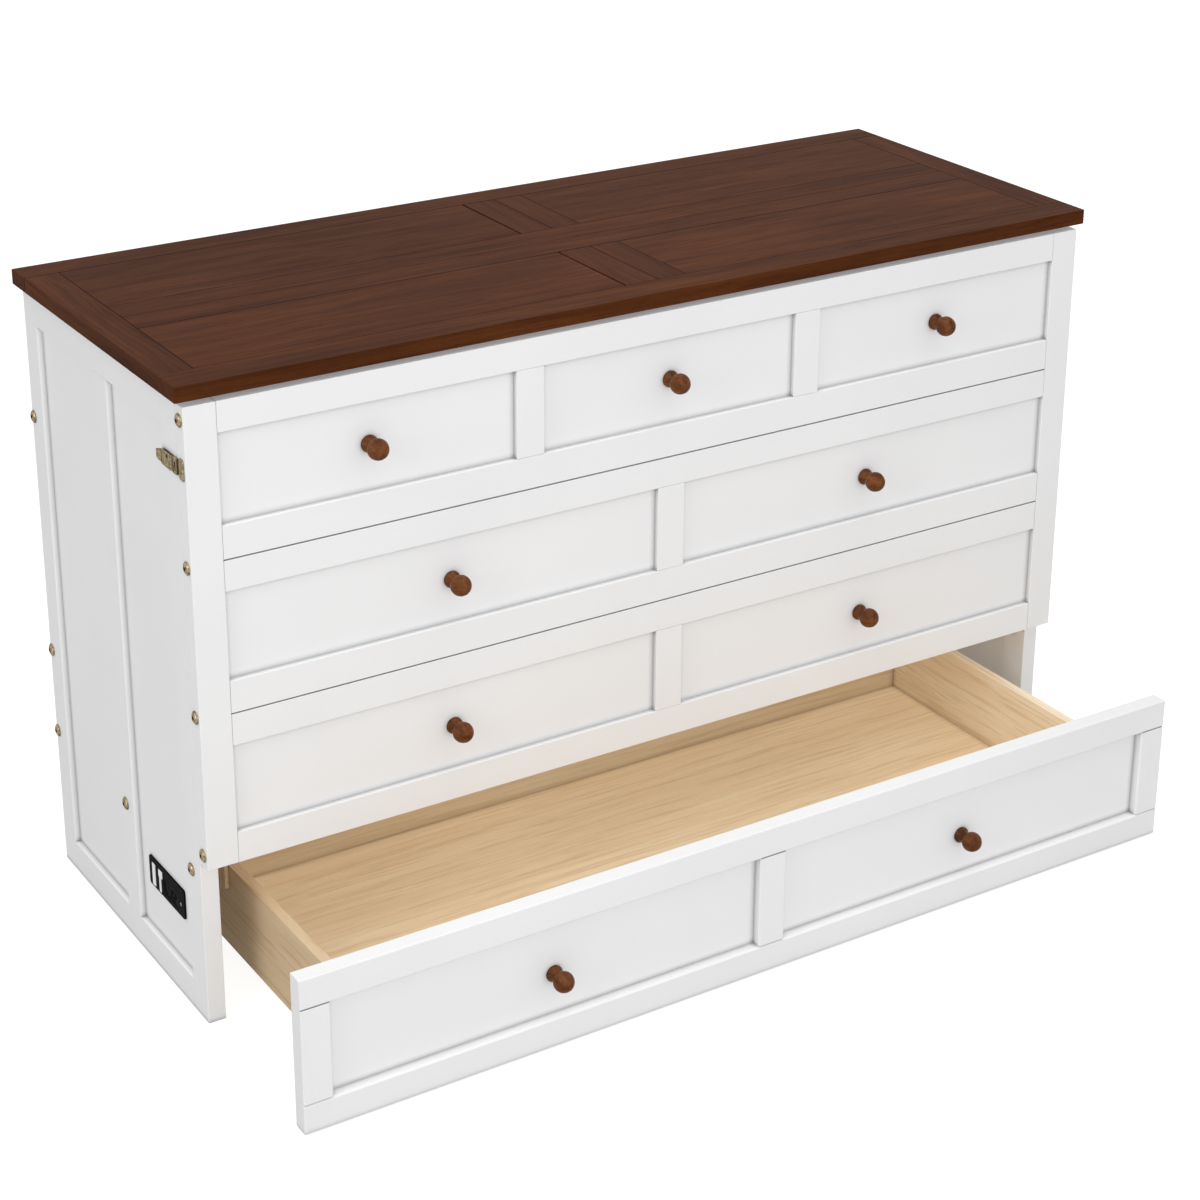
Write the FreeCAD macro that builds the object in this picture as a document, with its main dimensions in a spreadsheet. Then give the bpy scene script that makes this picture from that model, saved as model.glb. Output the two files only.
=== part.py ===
import FreeCAD
import Part
import Sketcher
import math
import os
import re

doc = FreeCAD.newDocument("wall_bed")
sizes = doc.addObject("Spreadsheet::Sheet", "Sizes")

# every size of the bed in millimetres
NAMED = [
    # case
    ("width", "1620"), ("depth", "580"), ("side_height", "1016"), ("side_thick", "28.5"),
    ("side_recess", "9.5"), ("front_stile", "52"), ("mid_stile_from", "254"), ("mid_stile", "48"),
    ("back_stile", "49"), ("case_top_rail", "55.5"), ("case_foot_rail", "53"), ("ease", "0.8"),
    ("back_thick", "18"), ("back_seam_share", "0.5374"), ("back_drop", "3"),
    # lid
    ("lid_thick", "24.4"), ("lid_over_side", "12.2"), ("lid_over_front", "30.8"),
    ("lid_over_back", "9.7"), ("lid_front_rail", "56.8"), ("lid_rear_rail", "55.7"),
    ("lid_end", "55.2"), ("lid_centre_from", "225"), ("lid_centre_a", "58"), ("lid_centre_b", "57"),
    ("lid_cross_off", "51.5"), ("lid_cross_a", "57.5"), ("lid_cross_b", "52"), ("lid_gap", "2.5"),
    # front panel
    ("front_gap", "0.5"), ("front_thick", "28.4"), ("front_base", "279.2"), ("front_head", "8.4"),
    ("front_recess", "9.5"), ("end_stile", "50"), ("centre_stile", "49.5"), ("top_stile", "48"),
    ("top_bay", "481"), ("row_gap", "2"), ("low_row_share", "0.33512"), ("mid_row_share", "0.33045"),
    ("low_foot_rail", "50.8"), ("low_head_rail", "50.8"), ("mid_foot_rail", "51.7"),
    ("mid_head_rail", "48"), ("top_foot_rail", "52"), ("top_head_rail", "47.1"), ("spline_deep", "8"),
    # knobs
    ("knob_disc", "13.5"), ("knob_disc_thick", "3.5"), ("knob_neck", "8.5"), ("knob_neck_from", "8"),
    ("knob_ball", "16.5"), ("knob_out", "29"), ("knob_lift", "2.7"), ("outer_knob", "521"),
    ("inner_knob", "389"), ("drawer_knob", "388"), ("drawer_knob_up", "116"),
    # deck
    ("fold_in", "5.3"), ("deck_slat", "15"), ("deck_slat_wide", "70"), ("slat_edge", "11.5"),
    ("rail_set", "1.5"), ("ledge_deep", "25"), ("ledge_drop", "18.2"), ("rail_block", "22"),
    ("rail_low", "34.2"), ("beam_high", "72"), ("beam_thick", "18"), ("mid_beam_from", "276"),
    ("slat_set", "0.5"), ("slat_back", "2"),
    # hinges
    ("hinge_width", "60"), ("hinge_middle", "20"), ("hinge_play", "0.5"), ("hinge_leaf", "3"),
    ("leaf_gap", "0.3"), ("knuckle", "3"), ("pin", "1.5"), ("pin_fit", "0.05"), ("leaf_start", "3.4"),
    ("front_leaf_in", "29.8"), ("front_leaf_out", "18"), ("hinge_inset", "150"),
    ("lid_leaf", "2.5"), ("lid_knuckle", "3.5"), ("lid_axis_back", "4.5"), ("lid_axis_down", "3.8"),
    ("lid_leaf_long", "20.7"), ("lid_leaf_drop", "27"), ("lid_hinge_inset", "200"),
    ("foot_leaf", "1.4"), ("foot_leaf_drop", "26"), ("foot_hinge_inset", "230"),
    # foot section and its legs
    ("foot_space", "3"), ("foot_gap", "7.5"), ("foot_slat", "12"), ("foot_slat_wide", "70"),
    ("foot_rail", "22"), ("foot_rail_deep", "37"), ("foot_cross", "18"), ("foot_lift", "23.8"),
    ("centre_rail", "30"), ("leg_side_gap", "0.5"), ("leg_wide", "38"), ("leg_in", "20"),
    ("leg_round", "18"), ("leg_up", "38"), ("leg_floor", "0.5"), ("leg_pin", "4"),
    ("leg_fit", "0.08"), ("leg_cap", "7"), ("leg_cap_thick", "3"), ("stretcher_up", "199"),
    ("stretcher_high", "40"), ("stretcher_thick", "16"),
    # drawer
    ("drawer_out", "299.3"), ("drawer_base", "2"), ("drawer_top", "255.6"), ("drawer_recess", "16"),
    ("drawer_head_rail", "49.6"), ("drawer_foot_rail", "48"), ("drawer_end_stile", "48"),
    ("drawer_mid_stile", "48.9"), ("drawer_bevel", "3"), ("box_in", "92"), ("box_side", "17"),
    ("box_base", "44"), ("box_top", "192"), ("box_floor_up", "2.5"), ("box_floor", "12"),
    ("box_deep", "578.8"), ("box_front_thick", "17"), ("guide_from", "112"), ("guide_gap", "0.3"),
    ("guide_side", "6"), ("guide_over", "15"), ("guide_low", "42"),
    # casters
    ("caster_in", "58"), ("caster_front", "92"), ("caster_back", "490"), ("wheel", "18"),
    ("wheel_wide", "16"), ("wheel_ease", "1.5"), ("wheel_play", "1"), ("axle", "3"), ("axle_fit", "0.05"),
    ("cheek", "3"), ("cheek_deep", "12"), ("cheek_drop", "8"), ("caster_plate", "3"),
    ("caster_plate_half", "16"),
    # brass parts
    ("bolt", "10.5"), ("bolt_rim", "1.2"), ("bolt_shoulder", "8"), ("bolt_shoulder_out", "3.4"),
    ("bolt_crown", "5"), ("bolt_out", "4.4"), ("bolt_hex", "3.5"), ("bolt_hex_deep", "2"),
    ("bolt_front", "33"), ("bolt_back_in", "8"), ("bolt_low_drop", "27.2"),
    ("bolt_beam_drop", "26"), ("bolt_lower_up", "106.5"), ("bolt_upper_drop", "217"),
    ("edge_bolt_foot", "19.8"), ("edge_bolt_low", "2.7"), ("edge_bolt_mid", "4.5"), ("edge_bolt_head", "22.6"),
    ("latch_from", "1"), ("latch_to", "44.5"), ("latch_drop", "115"), ("latch_tall", "24"),
    ("latch_plate", "1"), ("latch_lug", "4"), ("latch_play", "0.3"), ("latch_axis_out", "3.3"),
    ("latch_axis_in", "11"), ("latch_knuckle", "1.9"), ("latch_pin", "0.9"), ("latch_arm", "1.3"),
    ("latch_arm_from", "3"), ("nose_over", "6"), ("nose_back", "7"), ("nose_gap", "0.6"),
    ("nose_out", "4.4"), ("tab_long", "12"), ("tab_flare", "3.2"), ("tab_up", "5"),
    ("tab_high", "16"), ("tab_thick", "1.5"),
    ("keeper_from", "24"), ("keeper_to", "8"), ("keeper_drop", "121"), ("keeper_tall", "33"),
    ("keeper_round", "7"), ("keeper_rim", "1.2"), ("keeper_out", "2.8"), ("keeper_crown", "3"),
    # outlet
    ("outlet_from", "86.8"), ("outlet_long", "133.3"), ("outlet_low", "133"), ("outlet_high", "50.5"),
    ("outlet_thick", "3"), ("outlet_round", "4"), ("port_thick", "0.6"), ("port_up", "3.4"),
    ("port_high", "39"), ("wide_port_from", "109"), ("wide_port", "11.7"), ("slim_port_from", "87.6"),
    ("slim_port", "7"), ("port_cap_from", "82.1"), ("port_cap", "14.4"), ("port_cap_high", "13"),
]
for row, (name, value) in enumerate(NAMED, start=1):
    sizes.set(f"A{row}", value)
    sizes.setAlias(f"A{row}", name)
doc.recompute()

LEFT = "(-width / 2)"
FACE = "(0 - front_gap - front_thick)"
BACK_OF_FACE = "(0 - front_gap)"
FRONT_TOP = "(side_height - front_head)"
LOW_ROW = "((side_height - front_head - front_base) * low_row_share)"
MID_ROW = "((side_height - front_head - front_base) * mid_row_share)"
FOLD_Y = "(0 - front_gap - fold_in)"
DECK = "(front_base + fold_in)"
SEAT = "(front_base + fold_in - deck_slat)"
RAIL_TOP = "(front_base - leaf_gap - hinge_leaf)"
FOOT_Y = "(foot_space / 2 - front_gap)"
FOOT_Z = "(side_height - front_head + leaf_gap + knuckle)"
FOOT_BACK = "(foot_space - front_gap)"
LEG_Y = "(foot_space - front_gap + foot_slat + leg_in)"
LEG_Z = "(front_base + foot_lift + leg_up)"
MIDDLE = ("((depth + lid_over_back - front_gap - front_thick - drawer_out + drawer_recess"
          " - knob_out - knob_ball) / 2)")
# a box's twelve edges in their own order, each by the two faces that meet there
EDGES = "x-y- x-z+ x-y+ x-z- x+y- x+z+ x+y+ x+z- y-z- y-z+ y+z- y+z+".split()
nodes = []


def named(text):
    return re.sub(r"\b([a-z][a-z_]*)\b", r"Sizes.\1", text)


def number(name):
    return float(getattr(sizes, name))


def bind(thing, place, text):
    thing.setExpression(place, named(text))


def board(x, y, z, ease="", edges=""):
    box = doc.addObject("Part::Box", "board")
    for side, axis, ends in (("Length", "x", x), ("Width", "y", y), ("Height", "z", z)):
        bind(box, side, f"({ends[1]}) - ({ends[0]})")
        bind(box, f"Placement.Base.{axis}", ends[0])
    if not ease:
        return box
    chosen = edges.split() if edges else EDGES
    eased = doc.addObject("Part::Chamfer", "eased_board")
    eased.Base = box
    eased.Edges = [(EDGES.index(e) + 1, number(ease), number(ease)) for e in chosen]
    return eased


def mirrored(piece):
    twin = doc.addObject("Part::Mirroring", "mirrored")
    twin.Source = piece
    twin.Normal = (1, 0, 0)
    return twin


def both(pieces):
    return pieces + [mirrored(p) for p in pieces]


def rod(radius, x, y, z, axis="x"):
    round_bar = doc.addObject("Part::Cylinder", "rod")
    bind(round_bar, "Radius", radius)
    start = {"x": x, "y": y, "z": z}
    span = start[axis]
    bind(round_bar, "Height", f"({span[1]}) - ({span[0]})")
    if axis == "x":
        round_bar.Placement.Rotation = FreeCAD.Rotation(FreeCAD.Vector(0, 1, 0), 90)
    start[axis] = span[0]
    for name in "xyz":
        bind(round_bar, f"Placement.Base.{name}", start[name])
    return round_bar


def joined(pieces):
    whole = doc.addObject("Part::MultiFuse", "joined")
    whole.Shapes = pieces
    whole.Refine = True
    return whole


def cut(base, tool):
    rest = doc.addObject("Part::Cut", "cut")
    rest.Base = base
    rest.Tool = tool
    return rest


def grouped(label, pieces):
    group = doc.addObject("Part::Compound", label)
    group.Links = pieces
    return group


def node(label, pieces, drawn=""):
    group = grouped(label, pieces)
    group.Label = label
    bind(group, "Placement.Base.y", f"0 - {MIDDLE}{drawn}")
    nodes.append(group)
    return group


def body(label):
    return doc.addObject("PartDesign::Body", label)


def sketch(owner, plane):
    drawing = owner.newObject("Sketcher::SketchObject", "profile")
    face = [f for f in owner.Origin.OriginFeatures if f.Role == plane][0]
    drawing.AttachmentSupport = (face, [""])
    drawing.MapMode = "FlatFace"
    return drawing


def fix(drawing, kind, text, *places, near=None):
    start = number("pin") if near is None else near
    spot = drawing.addConstraint(Sketcher.Constraint(kind, *places, start))
    bind(drawing, f"Constraints[{spot}]", text)


def outline(drawing, points):
    first = drawing.GeometryCount
    count = len(points)
    for index in range(count):
        ends = []
        for corner in (index, (index + 1) % count):
            turn = FreeCAD.Rotation(FreeCAD.Vector(0, 0, 1), 360 * corner / count)
            ends.append(turn.multVec(FreeCAD.Vector(number("bolt"), 0, 0)))
        drawing.addGeometry(Part.LineSegment(*ends))
    for index in range(count):
        after = first + (index + 1) % count
        drawing.addConstraint(Sketcher.Constraint("Coincident", first + index, 2, after, 1))
    for index, (across, up) in enumerate(points):
        fix(drawing, "DistanceX", across, -1, 1, first + index, 1)
        fix(drawing, "DistanceY", up, -1, 1, first + index, 1)


def ring(drawing, across, up, radius):
    spot = drawing.GeometryCount
    centre = FreeCAD.Vector(number("bolt"), number("bolt"), 0)
    drawing.addGeometry(Part.Circle(centre, FreeCAD.Vector(0, 0, 1), number("pin")))
    fix(drawing, "Radius", radius, spot)
    fix(drawing, "DistanceX", across, -1, 1, spot, 3)
    fix(drawing, "DistanceY", up, -1, 1, spot, 3)


def padded(owner, drawing, length, label="pad"):
    pad = owner.newObject("PartDesign::Pad", label)
    pad.Profile = drawing
    bind(pad, "Length", length)
    return pad


def hinge(left, axis_y, axis_z, round_size, still, turning):
    # a half is (leaf y, leaf z, web y, web z); the pin belongs to the still half
    first = (left, f"{left} + (hinge_width - hinge_middle) / 2 - hinge_play")
    middle = (f"{left} + (hinge_width - hinge_middle) / 2", f"{left} + (hinge_width + hinge_middle) / 2")
    last = (f"{left} + (hinge_width + hinge_middle) / 2 + hinge_play", f"{left} + hinge_width")
    whole = (left, f"{left} + hinge_width")
    fixed = [board(whole, still[0], still[1]), rod("pin", whole, axis_y, axis_z)]
    for part in (first, last):
        fixed.append(board(part, still[2], still[3]))
        fixed.append(rod(round_size, part, axis_y, axis_z))
    moving = joined([board(whole, turning[0], turning[1]), board(middle, turning[2], turning[3]),
                     rod(round_size, middle, axis_y, axis_z)])
    bore = rod("pin + pin_fit", whole, axis_y, axis_z)
    return joined(fixed), cut(moving, bore)


def knob(x, y, z):
    # turned knob with a foot disc, a waist and a ball, its axis towards the front
    owner = body("knob")
    drawing = sketch(owner, "XY_Plane")
    ball = number("knob_ball")
    neck = number("knob_neck")
    drop = (ball ** 2 - neck ** 2) ** 0.5
    out = number("knob_out")
    disc = number("knob_disc")
    rim = number("knob_disc_thick")
    waist = number("knob_neck_from")
    corners = [(0, 0), (disc, 0), (disc, -rim), (neck, -waist), (neck, drop - out)]
    corners = [FreeCAD.Vector(a, b, 0) for a, b in corners]
    for start, end in zip(corners, corners[1:]):
        drawing.addGeometry(Part.LineSegment(start, end))
    crown = FreeCAD.Vector(0, -out - ball, 0)
    circle = Part.Circle(FreeCAD.Vector(0, -out, 0), FreeCAD.Vector(0, 0, 1), ball)
    drawing.addGeometry(Part.ArcOfCircle(circle, -math.pi / 2, math.acos(neck / ball)))
    drawing.addGeometry(Part.LineSegment(crown, corners[0]))
    for first, end, then, start in ((0, 2, 1, 1), (1, 2, 2, 1), (2, 2, 3, 1), (3, 2, 4, 2),
                                    (4, 1, 5, 1), (5, 2, 0, 1)):
        drawing.addConstraint(Sketcher.Constraint("Coincident", first, end, then, start))
    places = [("0", "0", 0, 0), ("knob_disc", "0", disc, 0),
              ("knob_disc", "-knob_disc_thick", disc, -rim),
              ("knob_neck", "-knob_neck_from", neck, -waist)]
    for index, (across, along, near_x, near_y) in enumerate(places):
        fix(drawing, "DistanceX", across, -1, 1, index, 1, near=near_x)
        fix(drawing, "DistanceY", along, -1, 1, index, 1, near=near_y)
    fix(drawing, "DistanceX", "0", -1, 1, 4, 3, near=0)
    fix(drawing, "DistanceY", "-knob_out", -1, 1, 4, 3, near=-out)
    fix(drawing, "DistanceX", "0", -1, 1, 5, 1, near=0)
    fix(drawing, "DistanceY", "-knob_out - knob_ball", -1, 1, 5, 1, near=-out - ball)
    fix(drawing, "DistanceX", "knob_neck", -1, 1, 3, 2, near=neck)
    turning = owner.newObject("PartDesign::Revolution", "turning")
    turning.Profile = drawing
    turning.ReferenceAxis = (drawing, ["V_Axis"])
    turning.Angle = 360
    for axis, text in (("x", x), ("y", y), ("z", z)):
        bind(owner, f"Placement.Base.{axis}", text)
    return owner


def bolt(y, z):
    # domed head with a hexagon socket, on a face of the left side
    owner = body("bolt")
    drawing = sketch(owner, "XY_Plane")
    outline(drawing, [("0", "0"), ("0", "bolt"), ("-bolt_rim", "bolt"),
                      ("-bolt_shoulder_out", "bolt_shoulder"), ("-bolt_out", "bolt_crown"),
                      ("-bolt_out", "0")])
    turning = owner.newObject("PartDesign::Revolution", "dome")
    turning.Profile = drawing
    turning.ReferenceAxis = (drawing, ["H_Axis"])
    turning.Angle = 360
    socket = doc.addObject("Part::Prism", "socket")
    socket.Polygon = 6
    bind(socket, "Circumradius", "bolt_hex")
    bind(socket, "Height", "bolt_hex_deep")
    socket.Placement.Rotation = FreeCAD.Rotation(FreeCAD.Vector(0, 1, 0), 90)
    bind(socket, "Placement.Base.x", "-bolt_out")
    head = cut(owner, socket)
    bind(head, "Placement.Base.x", LEFT)
    bind(head, "Placement.Base.y", y)
    bind(head, "Placement.Base.z", z)
    return head


# sides of the case, each a frame with two boards set back in it
case_stiles = [("0", "front_stile"), ("depth - back_stile", "depth")]
inner = ("front_stile", "depth - back_stile")
mid = ("mid_stile_from", "mid_stile_from + mid_stile")
side_x = (LEFT, f"{LEFT} + side_thick")
board_x = (f"{LEFT} + side_recess", f"{LEFT} + side_thick - side_recess")
between = ("case_foot_rail", "side_height - case_top_rail")
left_frame = [board(side_x, span, ("0", "side_height"), "ease") for span in case_stiles]
left_frame.append(board(side_x, inner, ("0", "case_foot_rail"), "ease"))
left_frame.append(board(side_x, inner, ("side_height - case_top_rail", "side_height"), "ease"))
left_frame.append(board(side_x, mid, between, "ease"))
left_front = board(board_x, ("front_stile", "mid_stile_from"), between)
left_rear = board(board_x, ("mid_stile_from + mid_stile", "depth - back_stile"), between)
node("left_side_frame", left_frame)
node("left_side_front_panel", [left_front])
node("left_side_rear_panel", [left_rear])
node("right_side_frame", [mirrored(p) for p in left_frame])
node("right_side_front_panel", [mirrored(left_front)])
node("right_side_rear_panel", [mirrored(left_rear)])

# back boards and the beams that carry the deck
inside = (f"{LEFT} + side_thick", "width / 2 - side_thick")
back_y = ("depth - back_thick", "depth")
back_seam = "side_height * back_seam_share"
node("lower_back_board", [board(inside, back_y, (f"{DECK} + slat_set", back_seam), "ease")])
node("upper_back_board", [board(inside, back_y, (back_seam, "side_height - back_drop"), "ease")])
rail_y = ["rail_set - front_gap", "rail_set - front_gap + ledge_deep",
          "rail_set - front_gap + ledge_deep + rail_block"]
rail = body("deck_rail")
rail_sketch = sketch(rail, "YZ_Plane")
outline(rail_sketch, [
    (rail_y[0], "front_base - ledge_drop"), (rail_y[0], RAIL_TOP), (rail_y[1], RAIL_TOP),
    (rail_y[1], SEAT), (rail_y[2], SEAT), (rail_y[2], "front_base - rail_low"),
    (rail_y[1], "front_base - rail_low"), (rail_y[1], "front_base - ledge_drop")])
padded(rail, rail_sketch, "width - 2 * side_thick")
bind(rail, "Placement.Base.x", f"{LEFT} + side_thick")
node("front_deck_rail", [rail])
beam_z = (f"{SEAT} - beam_high", SEAT)
node("mid_deck_beam", [board(inside, ("mid_beam_from", "mid_beam_from + beam_thick"), beam_z)])
node("rear_deck_beam", [board(inside, ("depth - beam_thick", "depth"), beam_z)])
slats = []
for index in range(11):
    start = (f"{LEFT} + side_thick + slat_edge"
             f" + (width - 2 * side_thick - 2 * slat_edge - deck_slat_wide) * {index} / 10")
    slats.append(board((start, f"{start} + deck_slat_wide"),
                       (f"{rail_y[1]} + slat_set", "depth - slat_back"), (SEAT, DECK)))
node("deck_slats", slats)

# lid of flush boards
lid_z = ("side_height", "side_height + lid_thick")
lid_x = (f"{LEFT} - lid_over_side", "width / 2 + lid_over_side")
lid_front = "lid_front_rail - lid_over_front"
lid_rear = "depth + lid_over_back - lid_rear_rail"
end_x = f"({LEFT} - lid_over_side + lid_end)"
centre_b = "lid_centre_from + lid_centre_a"
centre_end = "lid_centre_from + lid_centre_a + lid_centre_b"
node("lid_front_rail", [board(lid_x, ("0 - lid_over_front", lid_front), lid_z, "ease")])
node("lid_rear_rail", [board(lid_x, (lid_rear, "depth + lid_over_back"), lid_z, "ease")])
node("lid_end_boards", both([board((lid_x[0], end_x), (lid_front, lid_rear), lid_z, "ease")]))
lid_inside = (end_x, f"0 - {end_x}")
node("lid_centre_rails", [
    board(lid_inside, ("lid_centre_from", centre_b), lid_z, "ease"),
    board(lid_inside, (centre_b, centre_end), lid_z, "ease")])
cross_a = "0 - lid_cross_off"
cross_b = "0 - lid_cross_off + lid_cross_a"
cross_end = "0 - lid_cross_off + lid_cross_a + lid_cross_b"
bays = [(lid_front, "lid_centre_from"), (centre_end, lid_rear)]
crossing = []
flush = []
for bay in bays:
    crossing.append(board((cross_a, cross_b), bay, lid_z, "ease"))
    crossing.append(board((cross_b, cross_end), bay, lid_z, "ease"))
    flush.append(board((end_x, f"{cross_a} - lid_gap"), bay, lid_z, "ease"))
    flush.append(board((cross_end, f"0 - {end_x}"), bay, lid_z, "ease"))
node("lid_cross_boards", crossing)
node("lid_panels", flush)

# front panel: three rows of rails and stiles between two long end stiles
face_y = (FACE, BACK_OF_FACE)
set_back_y = (f"{FACE} + front_recess", BACK_OF_FACE)
stile_x = (LEFT, f"{LEFT} + end_stile")
face_x = (f"{LEFT} + end_stile", "width / 2 - end_stile")
node("front_stiles", both([board(stile_x, face_y, ("front_base", FRONT_TOP), "ease")]))
low_row_to = f"front_base + {LOW_ROW}"
mid_row_from = f"{low_row_to} + row_gap"
mid_row_to = f"{mid_row_from} + {MID_ROW}"
top_row_from = f"{mid_row_to} + row_gap"
top_a = f"{LEFT} + end_stile + top_bay"
halves = [("0 - centre_stile / 2", "centre_stile / 2")]
thirds = [(top_a, f"{top_a} + top_stile"), (f"0 - ({top_a} + top_stile)", f"0 - ({top_a})")]
hinge_lefts = [f"{LEFT} + hinge_inset - hinge_width / 2 + (width - 2 * hinge_inset) * {i} / 3"
               for i in range(4)]


def row(label, low, high, foot_rail, head_rail, stiles, pocketed=False):
    foot = board(face_x, face_y, (low, f"{low} + {foot_rail}"), "ease")
    if pocketed:
        pockets = [board((f"{left} - hinge_play", f"{left} + hinge_width + hinge_play"),
                         (f"{FOLD_Y} - front_leaf_out - hinge_play", f"{BACK_OF_FACE} + hinge_play"),
                         (f"{low} - hinge_play", f"{low} + hinge_leaf + 2 * leaf_gap"))
                   for left in hinge_lefts]
        foot = cut(foot, grouped("hinge_pockets", pockets))
    frame = [foot, board(face_x, face_y, (f"{high} - {head_rail}", high), "ease")]
    opening = (f"{low} + {foot_rail}", f"{high} - {head_rail}")
    edges = [face_x[0]]
    for span in stiles:
        frame.append(board(span, face_y, opening, "ease"))
        edges.extend(span)
    edges.append(face_x[1])
    panels = [board((a, b), set_back_y, opening) for a, b in zip(edges[::2], edges[1::2])]
    node(f"{label}_face_frame", frame)
    node(f"{label}_face_panels", panels)


row("lower", "front_base", low_row_to, "low_foot_rail", "low_head_rail", halves, True)
row("middle", mid_row_from, mid_row_to, "mid_foot_rail", "mid_head_rail", halves)
row("top", top_row_from, FRONT_TOP, "top_foot_rail", "top_head_rail", thirds)
spline_y = (f"{BACK_OF_FACE} - spline_deep", BACK_OF_FACE)
node("front_splines", [
    board(face_x, spline_y, (low_row_to, mid_row_from)),
    board(face_x, spline_y, (mid_row_to, top_row_from))])

# knobs stand on the set-back boards
knob_y = f"{FACE} + front_recess"
heights = [f"front_base + (low_foot_rail + {LOW_ROW} - low_head_rail) / 2",
           f"{mid_row_from} + (mid_foot_rail + {MID_ROW} - mid_head_rail) / 2",
           f"({top_row_from} + top_foot_rail + {FRONT_TOP} - top_head_rail) / 2 + knob_lift"]
knobs = []
for height in heights[:2]:
    knobs.extend([knob("0 - inner_knob", knob_y, height), knob("inner_knob", knob_y, height)])
for across in ("0 - outer_knob", "0", "outer_knob"):
    knobs.append(knob(across, knob_y, heights[2]))
node("front_knobs", knobs)

# hinges of the front, the lid and the foot section
still_parts = []
turning_parts = []
for left in hinge_lefts:
    still, turning = hinge(
        left, FOLD_Y, "front_base", "knuckle",
        ((f"{FOLD_Y} + leaf_start", f"{FOLD_Y} + front_leaf_in"), (RAIL_TOP, "front_base - leaf_gap"),
         (FOLD_Y, f"{FOLD_Y} + leaf_start"), (RAIL_TOP, "front_base - leaf_gap")),
        ((f"{FOLD_Y} - front_leaf_out", f"{FOLD_Y} - leaf_start"),
         ("front_base + 2 * leaf_gap", "front_base + 2 * leaf_gap + hinge_leaf"),
         (f"{FOLD_Y} - leaf_start", FOLD_Y),
         ("front_base + 2 * leaf_gap", "front_base + 2 * leaf_gap + hinge_leaf")))
    still_parts.append(still)
    turning_parts.append(turning)
node("front_hinge_fixed_halves", still_parts)
node("front_hinge_moving_halves", turning_parts)
lid_y = "depth + lid_axis_back"
lid_axis = "side_height - lid_axis_down"
leaf_low = f"{lid_axis} - lid_axis_down"
still_parts = []
turning_parts = []
for index in range(3):
    left = (f"{LEFT} + lid_hinge_inset - hinge_width / 2"
            f" + (width - 2 * lid_hinge_inset) * {index} / 2")
    still, turning = hinge(
        left, lid_y, lid_axis, "lid_knuckle",
        (("depth", "depth + lid_leaf"), (f"{lid_axis} - lid_leaf_drop", leaf_low),
         ("depth", "depth + lid_leaf"), (leaf_low, lid_axis)),
        ((f"{lid_y} - lid_axis_down - lid_leaf_long", f"{lid_y} - lid_axis_down"),
         ("side_height - lid_leaf", "side_height"),
         (f"{lid_y} - lid_axis_down", lid_y), ("side_height - lid_leaf", "side_height")))
    still_parts.append(still)
    turning_parts.append(turning)
node("lid_hinge_fixed_halves", still_parts)
node("lid_hinge_moving_halves", turning_parts)
still_parts = []
turning_parts = []
for index in range(3):
    left = (f"{LEFT} + foot_hinge_inset - hinge_width / 2"
            f" + (width - 2 * foot_hinge_inset) * {index} / 2")
    panel_side = (BACK_OF_FACE, f"{BACK_OF_FACE} + foot_leaf")
    foot_side = (f"{FOOT_BACK} - foot_leaf", FOOT_BACK)
    leaf_z = (f"{FOOT_Z} - foot_leaf_drop", f"{FOOT_Z} - leaf_start")
    web_z = (f"{FOOT_Z} - leaf_start", FOOT_Z)
    still, turning = hinge(left, FOOT_Y, FOOT_Z, "knuckle", (panel_side, leaf_z, panel_side, web_z),
                           (foot_side, leaf_z, foot_side, web_z))
    still_parts.append(still)
    turning_parts.append(turning)
node("foot_hinge_fixed_halves", still_parts)
node("foot_hinge_moving_halves", turning_parts)

# foot section of the deck, stored upright behind the front
foot_base = "(front_base + foot_lift)"
foot_left = f"{LEFT} + side_thick + foot_gap"
foot_x = (foot_left, f"0 - ({foot_left})")
foot_frame_y = (f"{FOOT_BACK} + foot_slat", f"{FOOT_BACK} + foot_slat + foot_rail_deep")
foot_inner = (f"{foot_base} + foot_cross", f"{FRONT_TOP} - foot_cross")
foot_rails = both([board((foot_left, f"{foot_left} + foot_rail"), foot_frame_y, foot_inner)])
foot_rails.append(board(("0 - centre_rail / 2", "centre_rail / 2"), foot_frame_y, foot_inner))
node("foot_side_rails", foot_rails)
node("foot_cross_rails", [
    board(foot_x, foot_frame_y, (foot_base, foot_inner[0])),
    board(foot_x, foot_frame_y, (foot_inner[1], FRONT_TOP))])
slats = []
for index in range(7):
    start = f"{foot_base} + ({FRONT_TOP} - {foot_base} - foot_slat_wide) * {index} / 6"
    slats.append(board(foot_x, (FOOT_BACK, f"{FOOT_BACK} + foot_slat"),
                       (start, f"{start} + foot_slat_wide")))
node("foot_slats", slats)

# folding legs
leg_left = f"{foot_left} + foot_rail + leg_side_gap"
leg_long = f"({FOOT_Y} - {FOLD_Y} + front_base - {LEG_Y} + {FOOT_Y} - leg_floor)"
post = body("leg_post")
shank = sketch(post, "YZ_Plane")
outline(shank, [("0 - leg_round", "0"), ("leg_round", "0"), ("leg_round", leg_long),
                ("0 - leg_round", leg_long)])
padded(post, shank, "leg_wide", "shank")
heel = sketch(post, "YZ_Plane")
ring(heel, "0", "0", "leg_round")
padded(post, heel, "leg_wide", "heel")
eye = sketch(post, "YZ_Plane")
ring(eye, "0", "0", "leg_pin + leg_fit")
hole = post.newObject("PartDesign::Pocket", "eye")
hole.Profile = eye
hole.Type = "ThroughAll"
hole.Midplane = True
post.Tip = hole
bind(post, "Placement.Base.x", leg_left)
bind(post, "Placement.Base.y", LEG_Y)
bind(post, "Placement.Base.z", LEG_Z)
node("leg_posts", both([post]))
stretcher_y = (f"{LEG_Y} + leg_round", f"{LEG_Y} + leg_round + stretcher_thick")
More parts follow.
